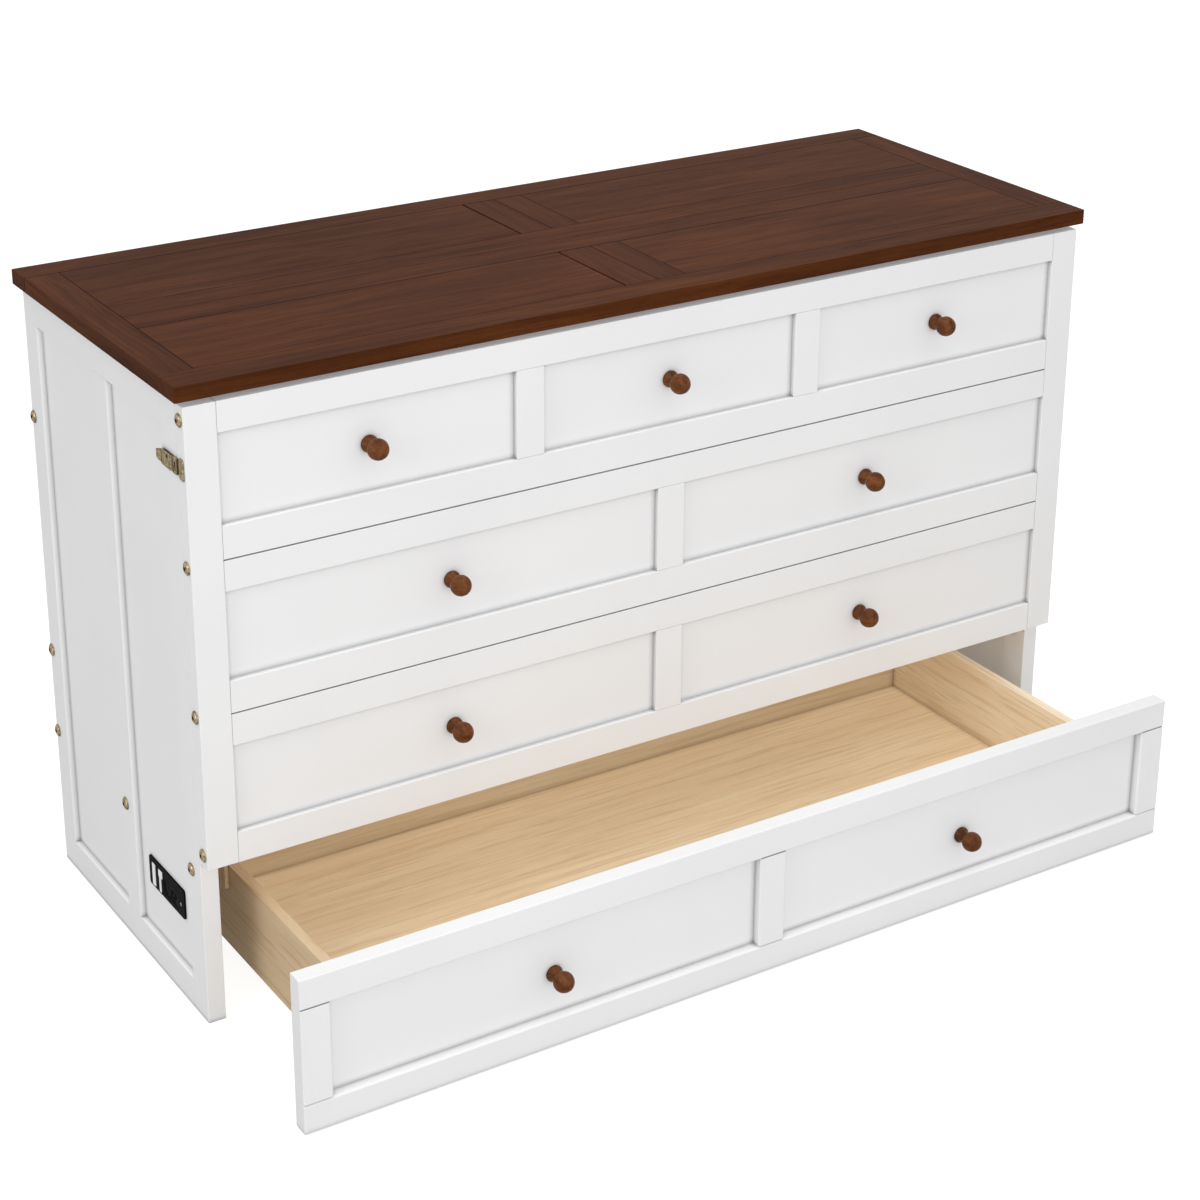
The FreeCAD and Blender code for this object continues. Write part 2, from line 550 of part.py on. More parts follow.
stretcher_z = (f"{LEG_Z} + stretcher_up", f"{LEG_Z} + stretcher_up + stretcher_high")
node("leg_stretcher", [board((leg_left, f"0 - ({leg_left})"), stretcher_y, stretcher_z)])
cap_x = f"{leg_left} + leg_wide + leg_side_gap"
leg_bolt = joined([
    rod("leg_pin", (f"{foot_left} + foot_rail", cap_x), LEG_Y, LEG_Z),
    rod("leg_cap", (cap_x, f"{cap_x} + leg_cap_thick"), LEG_Y, LEG_Z)])
node("leg_pivot_bolts", both([leg_bolt]))

# drawer, drawn out
out = " - drawer_out"
drawer_y = (FACE, BACK_OF_FACE)
all_x = (LEFT, "width / 2")
drawer_inner = ("drawer_base + drawer_foot_rail", "drawer_top - drawer_head_rail")
end_inner = f"{LEFT} + drawer_end_stile"
mid_left = "0 - drawer_mid_stile / 2"


def bevelled(x, z, edges):
    easy = [e for e in EDGES if e not in edges]
    box = board(x, drawer_y, z, "ease", " ".join(easy))
    bevel = number("drawer_bevel")
    box.Edges = box.Edges + [(EDGES.index(e) + 1, bevel, bevel) for e in edges]
    return box


frame = [bevelled(all_x, ("drawer_base", drawer_inner[0]), ["y-z+"]),
         bevelled(all_x, (drawer_inner[1], "drawer_top"), ["y-z-"]),
         bevelled((mid_left, "drawer_mid_stile / 2"), drawer_inner, ["x-y-", "x+y-"])]
frame.extend(both([bevelled((LEFT, end_inner), drawer_inner, ["x+y-"])]))
node("drawer_face_frame", frame, out)
set_back = (f"{FACE} + drawer_recess", BACK_OF_FACE)
node("drawer_face_panels", both([board((end_inner, mid_left), set_back, drawer_inner)]), out)
knob_set = f"{FACE} + drawer_recess"
knob_up = "drawer_base + drawer_knob_up"
node("drawer_knobs", [knob("0 - drawer_knob", knob_set, knob_up),
                      knob("drawer_knob", knob_set, knob_up)], out)
box_left = f"{LEFT} + box_in"
box_z = ("box_base", "box_top")
box_y = (BACK_OF_FACE, f"{BACK_OF_FACE} + box_deep")
box_inner = (f"{box_left} + box_side", f"0 - ({box_left} + box_side)")
node("drawer_sides", both([board((box_left, box_inner[0]), box_y, box_z, "ease")]), out)
node("drawer_back", [board(box_inner, (f"{box_y[1]} - box_side", box_y[1]), box_z, "ease")], out)
node("drawer_box_front", [board(box_inner, (box_y[0], f"{box_y[0]} + box_front_thick"), box_z)], out)
floor_z = ("box_base + box_floor_up", "box_base + box_floor_up + box_floor")
node("drawer_floor", [board(box_inner, (f"{box_y[0]} + box_front_thick", f"{box_y[1]} - box_side"),
                            floor_z)], out)

# angled guides under the beams, over the top edges of the drawer's sides
guide_x = f"{box_left} - guide_gap"
guide_y = ("guide_from", "depth")
guide = joined([
    board((f"{guide_x} - guide_side", f"{box_left} + guide_over"), guide_y,
          ("box_top + guide_gap", beam_z[0])),
    board((f"{guide_x} - guide_side", guide_x), guide_y, ("box_top - guide_low", beam_z[0]))])
node("drawer_guides", both([guide]))

# casters under the drawer
caster_x = f"({box_left} + caster_in)"
brackets = []
wheels = {}
for place, caster_y in (("front", "caster_front"), ("back", "caster_back")):
    half = "(wheel_wide / 2 + wheel_play)"
    pieces = [rod("axle", (f"{caster_x} - {half} - cheek", f"{caster_x} + {half} + cheek"),
                  caster_y, "wheel")]
    cheek_y = (f"{caster_y} - cheek_deep", f"{caster_y} + cheek_deep")
    for low, high in ((f"{caster_x} - {half} - cheek", f"{caster_x} - {half}"),
                      (f"{caster_x} + {half}", f"{caster_x} + {half} + cheek")):
        pieces.append(board((low, high), cheek_y, ("cheek_drop", floor_z[0])))
    pieces.append(board(
        (f"{caster_x} - caster_plate_half", f"{caster_x} + caster_plate_half"),
        (f"{caster_y} - caster_plate_half", f"{caster_y} + caster_plate_half"),
        (f"{floor_z[0]} - caster_plate", floor_z[0])))
    brackets.append(joined(pieces))
    wheel = body("wheel")
    tread = sketch(wheel, "XY_Plane")
    edge = "wheel_wide / 2"
    outline(tread, [(f"0 - {edge}", "axle + axle_fit"), (f"0 - {edge}", "wheel - wheel_ease"),
                    (f"0 - {edge} + wheel_ease", "wheel"), (f"{edge} - wheel_ease", "wheel"),
                    (edge, "wheel - wheel_ease"), (edge, "axle + axle_fit")])
    turning = wheel.newObject("PartDesign::Revolution", "tread")
    turning.Profile = tread
    turning.ReferenceAxis = (tread, ["H_Axis"])
    turning.Angle = 360
    bind(wheel, "Placement.Base.x", caster_x)
    bind(wheel, "Placement.Base.y", caster_y)
    bind(wheel, "Placement.Base.z", "wheel")
    wheels[f"caster_wheel_{place}_left"] = wheel
    wheels[f"caster_wheel_{place}_right"] = mirrored(wheel)
node("caster_brackets", both(brackets), out)
for label, wheel in wheels.items():
    node(label, [wheel], out)

# bolts on the outer faces of the sides and on the front panel's side edges
bolt_back = "depth - bolt_back_in"
spots = [("bolt_front", "front_base - bolt_low_drop"),
         ("mid_beam_from + beam_thick / 2", f"{SEAT} - bolt_beam_drop"),
         (bolt_back, f"{SEAT} - bolt_beam_drop"), (bolt_back, f"{DECK} + bolt_lower_up"),
         (bolt_back, "side_height - bolt_upper_drop")]
node("side_bolts", both([bolt(y, z) for y, z in spots]))
edge_y = "0 - front_gap - front_thick / 2"
edge_heights = ["front_base + edge_bolt_foot", f"{low_row_to} + edge_bolt_low",
                f"{mid_row_to} - edge_bolt_mid", f"{FRONT_TOP} - edge_bolt_head"]
node("front_edge_bolts", both([bolt(edge_y, height) for height in edge_heights]))

# swing latches on the sides and their keeper plates on the front panel's edges
axis_x = f"{LEFT} - latch_axis_out"
axis_y = "latch_from + latch_axis_in"
lug_y = (f"{axis_y} - latch_knuckle", f"{axis_y} + latch_knuckle")
latch_low = "side_height - latch_drop"
latch_high = f"{latch_low} + latch_tall"
latch_z = (latch_low, latch_high)
lugs = [(latch_low, f"{latch_low} + latch_lug"), (f"{latch_high} - latch_lug", latch_high)]
pieces = [board((f"{LEFT} - latch_plate", LEFT), ("latch_from", "latch_to"), latch_z),
          board((f"{LEFT} - nose_out", f"{LEFT} - nose_gap"), ("0 - nose_over", "nose_back"), latch_z,
                "ease", "x-y- x-y+"),
          rod("latch_pin", axis_x, axis_y, latch_z, "z")]
for span in lugs:
    pieces.append(board((axis_x, LEFT), lug_y, span))
    pieces.append(rod("latch_knuckle", axis_x, axis_y, span, "z"))
node("latch_bases", both([joined(pieces)]))
lever_z = (f"{latch_low} + latch_lug + latch_play", f"{latch_high} - latch_lug - latch_play")
arm_x = (f"{axis_x} - latch_arm", axis_x)
arm_from = f"{axis_y} + latch_arm_from"
lever = joined([
    rod("latch_knuckle", axis_x, axis_y, lever_z, "z"),
    board(arm_x, (axis_y, arm_from), lever_z),
    board(arm_x, (arm_from, "latch_to"), latch_z)])
tab = body("thumb_tab")
tab_sketch = sketch(tab, "XY_Plane")
outline(tab_sketch, [("0", "0"), ("-tab_flare", "tab_long"), ("-tab_flare - tab_thick", "tab_long"),
                     ("-latch_arm", "0")])
padded(tab, tab_sketch, "tab_high")
bind(tab, "Placement.Base.x", axis_x)
bind(tab, "Placement.Base.y", "latch_to")
bind(tab, "Placement.Base.z", f"{latch_low} + tab_up")
lever = cut(joined([lever, tab]), rod("latch_pin + pin_fit", axis_x, axis_y, latch_z, "z"))
node("left_latch_lever", [lever])
node("right_latch_lever", [mirrored(lever)])
keeper_y = ("0 - keeper_from", "0 - keeper_to")
keeper_low = "side_height - keeper_drop"
rounded = doc.addObject("Part::Fillet", "rounded")
rounded.Base = board((f"{LEFT} - keeper_out", LEFT), keeper_y, (keeper_low, f"{keeper_low} + keeper_tall"))
rounded.Edges = [(EDGES.index(e) + 1, number("keeper_round"), number("keeper_round"))
                 for e in ("y-z-", "y-z+", "y+z-", "y+z+")]
crowned = body("crowned")
crown_sketch = sketch(crowned, "XY_Plane")
crown_y = "(0 - (keeper_from + keeper_to) / 2)"
outline(crown_sketch, [("0", "0 - keeper_from"), ("-keeper_rim", "0 - keeper_from"),
                       ("-keeper_out", f"{crown_y} - keeper_crown"),
                       ("-keeper_out", f"{crown_y} + keeper_crown"),
                       ("-keeper_rim", "0 - keeper_to"), ("0", "0 - keeper_to")])
padded(crowned, crown_sketch, "keeper_tall")
bind(crowned, "Placement.Base.x", LEFT)
bind(crowned, "Placement.Base.z", keeper_low)
keeper = doc.addObject("Part::Common", "keeper")
keeper.Base = crowned
keeper.Tool = rounded
node("latch_keepers", both([keeper]))

# outlet plate on the front board of the left side
plate_x = (f"{LEFT} + side_recess - outlet_thick", f"{LEFT} + side_recess")
plate = doc.addObject("Part::Fillet", "outlet")
plate.Base = board(plate_x, ("outlet_from", "outlet_from + outlet_long"),
                   ("outlet_low", "outlet_low + outlet_high"))
plate.Edges = [(EDGES.index(e) + 1, number("outlet_round"), number("outlet_round"))
               for e in ("y-z-", "y-z+", "y+z-", "y+z+")]
node("outlet_plate", [plate])
port_x = (f"{plate_x[0]} - port_thick", plate_x[0])
port_top = "outlet_low + port_up + port_high"


def port(start, wide, low):
    from_y = f"outlet_from + {start}"
    return board(port_x, (from_y, f"{from_y} + {wide}"), (low, port_top))


port_low = "outlet_low + port_up"
ports = [port("wide_port_from", "wide_port", port_low),
         joined([port("slim_port_from", "slim_port", port_low),
                 port("port_cap_from", "port_cap", f"{port_top} - port_cap_high")])]
node("outlet_inserts", ports)

doc.recompute()
for thing in doc.Objects:
    if "Invalid" in thing.State or "Error" in thing.State:
        raise RuntimeError(f"{thing.Name} failed: {thing.State}")
os.makedirs("parts", exist_ok=True)
for group in nodes:
    shape = group.Shape
    if shape.isNull() or not shape.isValid():
        raise RuntimeError(f"{group.Label} has no valid shape")
    shape.exportStep(f"parts/{group.Label}.step")
    print(f"{group.Label}: {len(shape.Solids)} solids, {shape.Volume:.0f} cubic mm")
print(f"{len(nodes)} nodes")
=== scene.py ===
import math
import bmesh
import bpy
from mathutils import Matrix, Vector


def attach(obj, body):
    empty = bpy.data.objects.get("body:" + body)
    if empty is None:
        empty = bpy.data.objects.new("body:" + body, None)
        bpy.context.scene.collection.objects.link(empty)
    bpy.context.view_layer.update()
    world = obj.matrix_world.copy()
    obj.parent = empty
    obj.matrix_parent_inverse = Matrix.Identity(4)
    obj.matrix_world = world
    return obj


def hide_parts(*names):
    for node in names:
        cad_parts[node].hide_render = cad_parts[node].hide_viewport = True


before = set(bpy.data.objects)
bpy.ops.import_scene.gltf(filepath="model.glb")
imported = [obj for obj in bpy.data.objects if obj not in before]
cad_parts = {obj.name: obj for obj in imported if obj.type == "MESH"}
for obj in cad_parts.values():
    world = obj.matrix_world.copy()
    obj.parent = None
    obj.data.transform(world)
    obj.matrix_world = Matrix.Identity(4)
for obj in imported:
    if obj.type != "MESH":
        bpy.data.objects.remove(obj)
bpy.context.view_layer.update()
scene = bpy.context.scene
scene.view_settings.view_transform = "Standard"
bpy.ops.object.select_all(action="DESELECT")
mm = 0.001
print("frame loaded")

# camera, solved from the straight edges of the photograph, with no more shift than the other views bear
view = {"place": (-2.1258, -3.3055, 2.2913), "yaw": 32.2315, "pitch": 21.0365, "roll": 0.28,
        "lens": 79.075, "shiftY": -0.15}
camera = bpy.data.objects.new("camera", bpy.data.cameras.new("camera"))
scene.collection.objects.link(camera)
yaw, pitch, roll = (math.radians(view[k]) for k in ("yaw", "pitch", "roll"))
ahead = Vector((math.sin(yaw) * math.cos(pitch), math.cos(yaw) * math.cos(pitch), -math.sin(pitch)))
level = Vector((math.cos(yaw), -math.sin(yaw), 0))
above = level.cross(ahead)
sideways = level * math.cos(roll) + above * math.sin(roll)
upward = above * math.cos(roll) - level * math.sin(roll)
turn = Matrix((sideways, upward, -ahead)).transposed().to_4x4()
camera.matrix_world = Matrix.Translation(view["place"]) @ turn
camera.data.lens = view["lens"]
camera.data.shift_y = view["shiftY"]
scene.camera = camera

# studio: a pale floor and sky that look white, and three area lights
# each light: name, place, target, size, watts, whether it casts a shadow
studio = {"floorHalf": 16, "floorGlow": 0.7, "sky": 0.72, "skySeen": 1.0,
          "boxes": [("frontBox", (-0.75, -4.4, 1.3), (0, -0.2, 0.5), 3.0, 62, False),
                    ("leftBox", (-4.2, -0.8, 2.2), (0, 0, 0.5), 2.6, 45, True),
                    ("fillBox", (0, -0.8, 4.5), (0, -0.3, 0.1), 3.0, 66, False)]}
world = bpy.data.worlds.new("studio")
scene.world = world
world.use_nodes = True
sky = world.node_tree
looking = sky.nodes.new("ShaderNodeLightPath")
brightness = sky.nodes.new("ShaderNodeMapRange")
brightness.inputs["To Min"].default_value = studio["sky"]
brightness.inputs["To Max"].default_value = studio["skySeen"]
sky.links.new(looking.outputs["Is Camera Ray"], brightness.inputs["Value"])
sky.links.new(brightness.outputs["Result"], sky.nodes["Background"].inputs["Strength"])
sky.nodes["Background"].inputs["Color"].default_value = (1, 1, 1, 1)
for name, place, target, size, power, shadow in studio["boxes"]:
    lamp = bpy.data.lights.new(name, "AREA")
    lamp.shape = "SQUARE"
    lamp.size = size
    lamp.energy = power
    lamp.use_shadow = shadow
    softbox = bpy.data.objects.new(name, lamp)
    scene.collection.objects.link(softbox)
    softbox.location = place
    softbox.rotation_mode = "QUATERNION"
    softbox.rotation_quaternion = (Vector(target) - Vector(place)).to_track_quat("-Z", "Y")
bpy.ops.mesh.primitive_plane_add(size=studio["floorHalf"] * 2, location=(0, 0, 0))
floor = bpy.context.active_object
floor.name = "studioFloor"
print("camera and studio set")


# small helpers for materials

def freshMaterial(name):
    material = bpy.data.materials.new(name)
    material.use_nodes = True
    tree = material.node_tree
    return material, tree, tree.nodes["Principled BSDF"]


def addNode(tree, kind, **settings):
    node = tree.nodes.new(kind)
    for key, value in settings.items():
        if hasattr(node, key):
            setattr(node, key, value)
        else:
            node.inputs[key.replace("_", " ")].default_value = value
    return node


def rampNode(tree, source, stops):
    node = tree.nodes.new("ShaderNodeValToRGB")
    while len(node.color_ramp.elements) < len(stops):
        node.color_ramp.elements.new(0.5)
    for element, (place, colour) in zip(node.color_ramp.elements, stops):
        element.position = place
        element.color = (*colour, 1)
    tree.links.new(source, node.inputs["Fac"])
    return node.outputs["Color"]


def rangeNode(tree, source, low, high, start=0.0, end=1.0):
    node = addNode(tree, "ShaderNodeMapRange", From_Min=low, From_Max=high, To_Min=start, To_Max=end)
    tree.links.new(source, node.inputs["Value"])
    return node.outputs["Result"]


def newGroup(name, inputs, outputs):
    tree = bpy.data.node_groups.new(name, "ShaderNodeTree")
    for label, kind, value in inputs:
        socket = tree.interface.new_socket(label, in_out="INPUT", socket_type=f"NodeSocket{kind}")
        socket.default_value = value
    for label, kind in outputs:
        tree.interface.new_socket(label, in_out="OUTPUT", socket_type=f"NodeSocket{kind}")
    return tree, tree.nodes.new("NodeGroupInput").outputs, tree.nodes.new("NodeGroupOutput").inputs


def useGroup(tree, group, where, **settings):
    node = tree.nodes.new("ShaderNodeGroup")
    node.node_tree = group
    tree.links.new(where, node.inputs["Vector"])
    for key, value in settings.items():
        node.inputs[key.replace("_", " ")].default_value = value
    return node.outputs


def objectPlace(tree):
    return tree.nodes.new("ShaderNodeTexCoord").outputs["Object"]


# each board's own piece of timber: a random shift and tone for every cell of a grid
cellShift = 9.0
boardCells, given, put = newGroup(
    "boardCells",
    [("Vector", "Vector", (0, 0, 0)), ("Start", "Vector", (0, 0, 0)), ("Pitch", "Vector", (1, 1, 1))],
    [("Vector", "Vector"), ("Tone", "Float")])
link = boardCells.links.new
fromStart = addNode(boardCells, "ShaderNodeVectorMath", operation="SUBTRACT")
inCells = addNode(boardCells, "ShaderNodeVectorMath", operation="DIVIDE")
cell = addNode(boardCells, "ShaderNodeVectorMath", operation="FLOOR")
chance = addNode(boardCells, "ShaderNodeTexWhiteNoise", noise_dimensions="3D")
further = addNode(boardCells, "ShaderNodeVectorMath", operation="SCALE", Scale=cellShift)
shifted = addNode(boardCells, "ShaderNodeVectorMath", operation="ADD")
link(given["Vector"], fromStart.inputs[0])
link(given["Start"], fromStart.inputs[1])
link(fromStart.outputs[0], inCells.inputs[0])
link(given["Pitch"], inCells.inputs[1])
link(inCells.outputs[0], cell.inputs[0])
link(cell.outputs[0], chance.inputs["Vector"])
link(chance.outputs["Color"], further.inputs[0])
link(given["Vector"], shifted.inputs[0])
link(further.outputs[0], shifted.inputs[1])
link(shifted.outputs[0], put["Vector"])
link(chance.outputs["Value"], put["Tone"])

# wood figure along X: long streaks, fine lines, short pores and a slow drift of tone
figure = {"bend": 2.5, "streakLength": 0.07, "lineLength": 0.03, "poreLength": 0.06, "pores": 900.0,
          "poreSpan": (0.6, 0.72), "drift": 1.8, "rough": 0.62}
woodFigure, given, put = newGroup(
    "woodFigure",
    [("Vector", "Vector", (0, 0, 0)), ("Streak Scale", "Float", 30.0), ("Line Scale", "Float", 200.0),
     ("Wave", "Float", 0.03)],
    [("Streaks", "Float"), ("Lines", "Float"), ("Pores", "Float"), ("Drift", "Float")])
link = woodFigure.links.new
bend = addNode(woodFigure, "ShaderNodeTexNoise", Scale=figure["bend"], Detail=2.0)
centred = addNode(woodFigure, "ShaderNodeVectorMath", operation="SUBTRACT")
centred.inputs[1].default_value = (0.5, 0.5, 0.5)
amount = addNode(woodFigure, "ShaderNodeVectorMath", operation="SCALE")
bent = addNode(woodFigure, "ShaderNodeVectorMath", operation="ADD")
link(given["Vector"], bend.inputs["Vector"])
link(bend.outputs["Color"], centred.inputs[0])
link(centred.outputs[0], amount.inputs[0])
link(given["Wave"], amount.inputs["Scale"])
link(given["Vector"], bent.inputs[0])
link(amount.outputs[0], bent.inputs[1])
for label, squeeze, scale, detail in (("Streaks", figure["streakLength"], given["Streak Scale"], 5.0),
                                      ("Lines", figure["lineLength"], given["Line Scale"], 4.0)):
    long = addNode(woodFigure, "ShaderNodeMapping", Scale=(squeeze, 1.0, 1.0))
    noise = addNode(woodFigure, "ShaderNodeTexNoise", Detail=detail, Roughness=figure["rough"])
    link(bent.outputs[0], long.inputs["Vector"])
    link(long.outputs[0], noise.inputs["Vector"])
    link(scale, noise.inputs["Scale"])
    link(noise.outputs["Fac"], put[label])
short = addNode(woodFigure, "ShaderNodeMapping", Scale=(figure["poreLength"], 1.0, 1.0))
pores = addNode(woodFigure, "ShaderNodeTexNoise", Scale=figure["pores"], Detail=1.0)
drift = addNode(woodFigure, "ShaderNodeTexNoise", Scale=figure["drift"], Detail=1.0)
link(bent.outputs[0], short.inputs["Vector"])
link(short.outputs[0], pores.inputs["Vector"])
link(rangeNode(woodFigure, pores.outputs["Fac"], *figure["poreSpan"]), put["Pores"])
link(given["Vector"], drift.inputs["Vector"])
link(drift.outputs["Fac"], put["Drift"])

# small knots with a dark heart, only in some cells
knots, given, put = newGroup(
    "knots",
    [("Vector", "Vector", (0, 0, 0)), ("Spread", "Float", 3.2), ("Size", "Float", 0.016), ("Share", "Float", 0.45)],
    [("Knot", "Float")])
link = knots.links.new
stretched = addNode(knots, "ShaderNodeMapping", Scale=(0.6, 1.0, 1.0))
seeds = addNode(knots, "ShaderNodeTexVoronoi", Randomness=1.0)
apart = addNode(knots, "ShaderNodeSeparateColor")
some = addNode(knots, "ShaderNodeMath", operation="LESS_THAN")
heart = addNode(knots, "ShaderNodeMapRange", To_Min=1.0, To_Max=0.0, From_Min=0.0)
both = addNode(knots, "ShaderNodeMath", operation="MULTIPLY")
link(given["Vector"], stretched.inputs["Vector"])
link(stretched.outputs[0], seeds.inputs["Vector"])
link(given["Spread"], seeds.inputs["Scale"])
link(seeds.outputs["Color"], apart.inputs["Color"])
link(apart.outputs["Red"], some.inputs[0])
link(given["Share"], some.inputs[1])
link(seeds.outputs["Distance"], heart.inputs["Value"])
link(given["Size"], heart.inputs["From Max"])
link(some.outputs[0], both.inputs[0])
link(heart.outputs["Result"], both.inputs[1])
link(both.outputs[0], put["Knot"])

# sprayed and cast surfaces: a fine peel and slow clouds
skin, given, put = newGroup(
    "skin",
    [("Vector", "Vector", (0, 0, 0)), ("Peel Scale", "Float", 380.0), ("Cloud Scale", "Float", 3.0)],
    [("Peel", "Float"), ("Clouds", "Float")])
link = skin.links.new
for label, scale, detail in (("Peel", "Peel Scale", 3.0), ("Clouds", "Cloud Scale", 2.0)):
    noise = addNode(skin, "ShaderNodeTexNoise", Detail=detail, Roughness=0.6)
    link(given["Vector"], noise.inputs["Vector"])
    link(given[scale], noise.inputs["Scale"])
    link(noise.outputs["Fac"], put[label])
print("node groups built")


def mixed(tree, factor, first, second, blend="MIX"):
    node = addNode(tree, "ShaderNodeMix", data_type="RGBA", blend_type=blend)
    colours = [socket for socket in node.inputs if socket.type == "RGBA"]
    for socket, value in ((node.inputs["Factor"], factor), (colours[0], first), (colours[1], second)):
        if hasattr(value, "links"):
            tree.links.new(value, socket)
        else:
            socket.default_value = value
    return [socket for socket in node.outputs if socket.type == "RGBA"][0]


creviceShadeSpan = (0.25, 0.92)


def creviceShadeAndPatina(tree, colour, deep, reach, depth):
    # painted shade in joints and corners, darker within a reach in millimetres; on brass it also stands for patina
    # in the hollows
    corner = addNode(tree, "ShaderNodeAmbientOcclusion", samples=4, Distance=reach * mm)
    return mixed(tree, rangeNode(tree, corner.outputs["AO"], *creviceShadeSpan, depth, 0), colour, (*deep, 1))


def seams(tree, colour, lines, deep):
    # glue lines between boards: (axis, place, half width, strength), in millimetres
    apart = tree.nodes.new("ShaderNodeSeparateXYZ")
    tree.links.new(objectPlace(tree), apart.inputs["Vector"])
    for axis, place, half, strength in lines:
        away = addNode(tree, "ShaderNodeMath", operation="SUBTRACT")
        away.inputs[1].default_value = place * mm
        near = addNode(tree, "ShaderNodeMath", operation="ABSOLUTE")
        tree.links.new(apart.outputs[axis], away.inputs[0])
        tree.links.new(away.outputs[0], near.inputs[0])
        inLine = rangeNode(tree, near.outputs[0], half * mm / 2, half * mm, strength, 0)
        colour = mixed(tree, inLine, colour, (*deep, 1))
    return colour


# a darker board is also a redder one; spans are the parts of a noise that are used, reliefs are in millimetres
boardTint = (1, 1.3, 1.6)
# corner gives the reach in millimetres and the strength of the painted shade in joints and corners
woodLook = {"lineMix": 0.55, "poreMix": 0.4, "rough": (0.42, 0.56), "bump": 0.1, "drift": 0.2, "board": 0.1,
            "knot": 0.0, "specular": 0.04, "span": (0.34, 0.66), "lineSpan": (0.48, 0.68), "glossSpan": (0.2, 0.8),
            "relief": 0.4, "seams": [], "corner": (12, 0.75)}


def wood(name, tones, along, start, pitch, changes):
    look = {**woodLook, **changes}
    material, tree, shader = freshMaterial(name)
    plank = useGroup(tree, boardCells, objectPlace(tree), Start=start, Pitch=pitch)
    angles = {"x": (0, 0, 0), "y": (0, 0, math.pi / 2), "z": (0, math.pi / 2, 0)}[along]
    lying = addNode(tree, "ShaderNodeMapping", Rotation=angles)
    tree.links.new(plank["Vector"], lying.inputs["Vector"])
    grain = useGroup(tree, woodFigure, lying.outputs["Vector"], Streak_Scale=look["streaks"],
                     Line_Scale=look["lines"], Wave=look["wave"])
    low, high = look["span"]
    colour = rampNode(tree, grain["Streaks"], [(low, tones["dark"]), (high, tones["light"])])
    fine = rangeNode(tree, grain["Lines"], *look["lineSpan"], 0, look["lineMix"])
    colour = mixed(tree, fine, colour, (*tones["line"], 1))
    specks = rangeNode(tree, grain["Pores"], 0, 1, 0, look["poreMix"])
    colour = mixed(tree, specks, colour, (*tones["pore"], 1))
    if look["knot"]:
        eyes = useGroup(tree, knots, lying.outputs["Vector"])
        colour = mixed(tree, rangeNode(tree, eyes["Knot"], 0, 1, 0, look["knot"]), colour, (*tones["pore"], 1))
    slow = rampNode(tree, grain["Drift"], [(0.3, (1 - look["drift"],) * 3), (0.7, (1, 1, 1))])
    colour = mixed(tree, 1.0, colour, slow, "MULTIPLY")
    darkest = [1 - look["board"] * part for part in boardTint]
    own = rampNode(tree, plank["Tone"], [(0, darkest), (1, (1, 1, 1))])
    colour = mixed(tree, 1.0, colour, own, "MULTIPLY")
    colour = seams(tree, colour, look["seams"], tones["seamAndShade"])
    # painted shade in joints and corners, in the seam tone that also colours the glue lines
    colour = creviceShadeAndPatina(tree, colour, tones["seamAndShade"], *look["corner"])
    tree.links.new(colour, shader.inputs["Base Color"])
    gloss = rangeNode(tree, grain["Lines"], *look["glossSpan"], *look["rough"])
    tree.links.new(gloss, shader.inputs["Roughness"])
    relief = addNode(tree, "ShaderNodeBump", Strength=look["bump"], Distance=look["relief"] * mm)
    tree.links.new(grain["Lines"], relief.inputs["Height"])
    tree.links.new(relief.outputs["Normal"], shader.inputs["Normal"])
    shader.inputs["Specular IOR Level"].default_value = look["specular"]
    return material


# corner gives the reach in millimetres and the strength of the painted shade in joints and corners
coatLook = {"rough": (0.36, 0.46), "peel": 380.0, "clouds": 3.0, "bump": 0.05, "metallic": 0.0, "specular": 0.4,
            "deepShare": 0.3, "corner": (14, 0.8), "cloudSpan": (0.35, 0.65), "glossSpan": (0.3, 0.7),
            "relief": 0.3}


def coated(name, low, high, **changes):
    # paint, plastic, rubber and metal: two close tones, a changing gloss and a fine relief
    look = {**coatLook, **changes}
    material, tree, shader = freshMaterial(name)
    surface = useGroup(tree, skin, objectPlace(tree), Peel_Scale=look["peel"], Cloud_Scale=look["clouds"])
    start, end = look["cloudSpan"]
    colour = rampNode(tree, surface["Clouds"], [(start, low), (end, high)])
    # painted shade in joints and corners, in a darker tone; on brass it also stands for patina
    deep = look.get("deep", [look["deepShare"] * part for part in low])
    colour = creviceShadeAndPatina(tree, colour, deep, *look["corner"])
    tree.links.new(colour, shader.inputs["Base Color"])
    gloss = rangeNode(tree, surface["Peel"], *look["glossSpan"], *look["rough"])
    tree.links.new(gloss, shader.inputs["Roughness"])
    relief = addNode(tree, "ShaderNodeBump", Strength=look["bump"], Distance=look["relief"] * mm)
    tree.links.new(surface["Peel"], relief.inputs["Height"])
    tree.links.new(relief.outputs["Normal"], shader.inputs["Normal"])
    shader.inputs["Metallic"].default_value = look["metallic"]
    shader.inputs["Specular IOR Level"].default_value = look["specular"]
    return material


walnutTones = {"dark": (0.050, 0.0130, 0.0035), "light": (0.115, 0.0348, 0.0087),
               "line": (0.038, 0.0085, 0.003), "pore": (0.022, 0.006, 0.003), "seamAndShade": (0.020, 0.004, 0.002)}
knobTones = {"dark": (0.075, 0.023, 0.006), "light": (0.20, 0.070, 0.021), "line": (0.045, 0.013, 0.004),
             "pore": (0.03, 0.01, 0.004), "seamAndShade": (0.02, 0.006, 0.002)}
pineTones = {"dark": (0.84, 0.66, 0.43), "light": (0.92, 0.78, 0.555), "line": (0.62, 0.43, 0.235),
             "pore": (0.34, 0.17, 0.07), "seamAndShade": (0.30, 0.19, 0.10)}
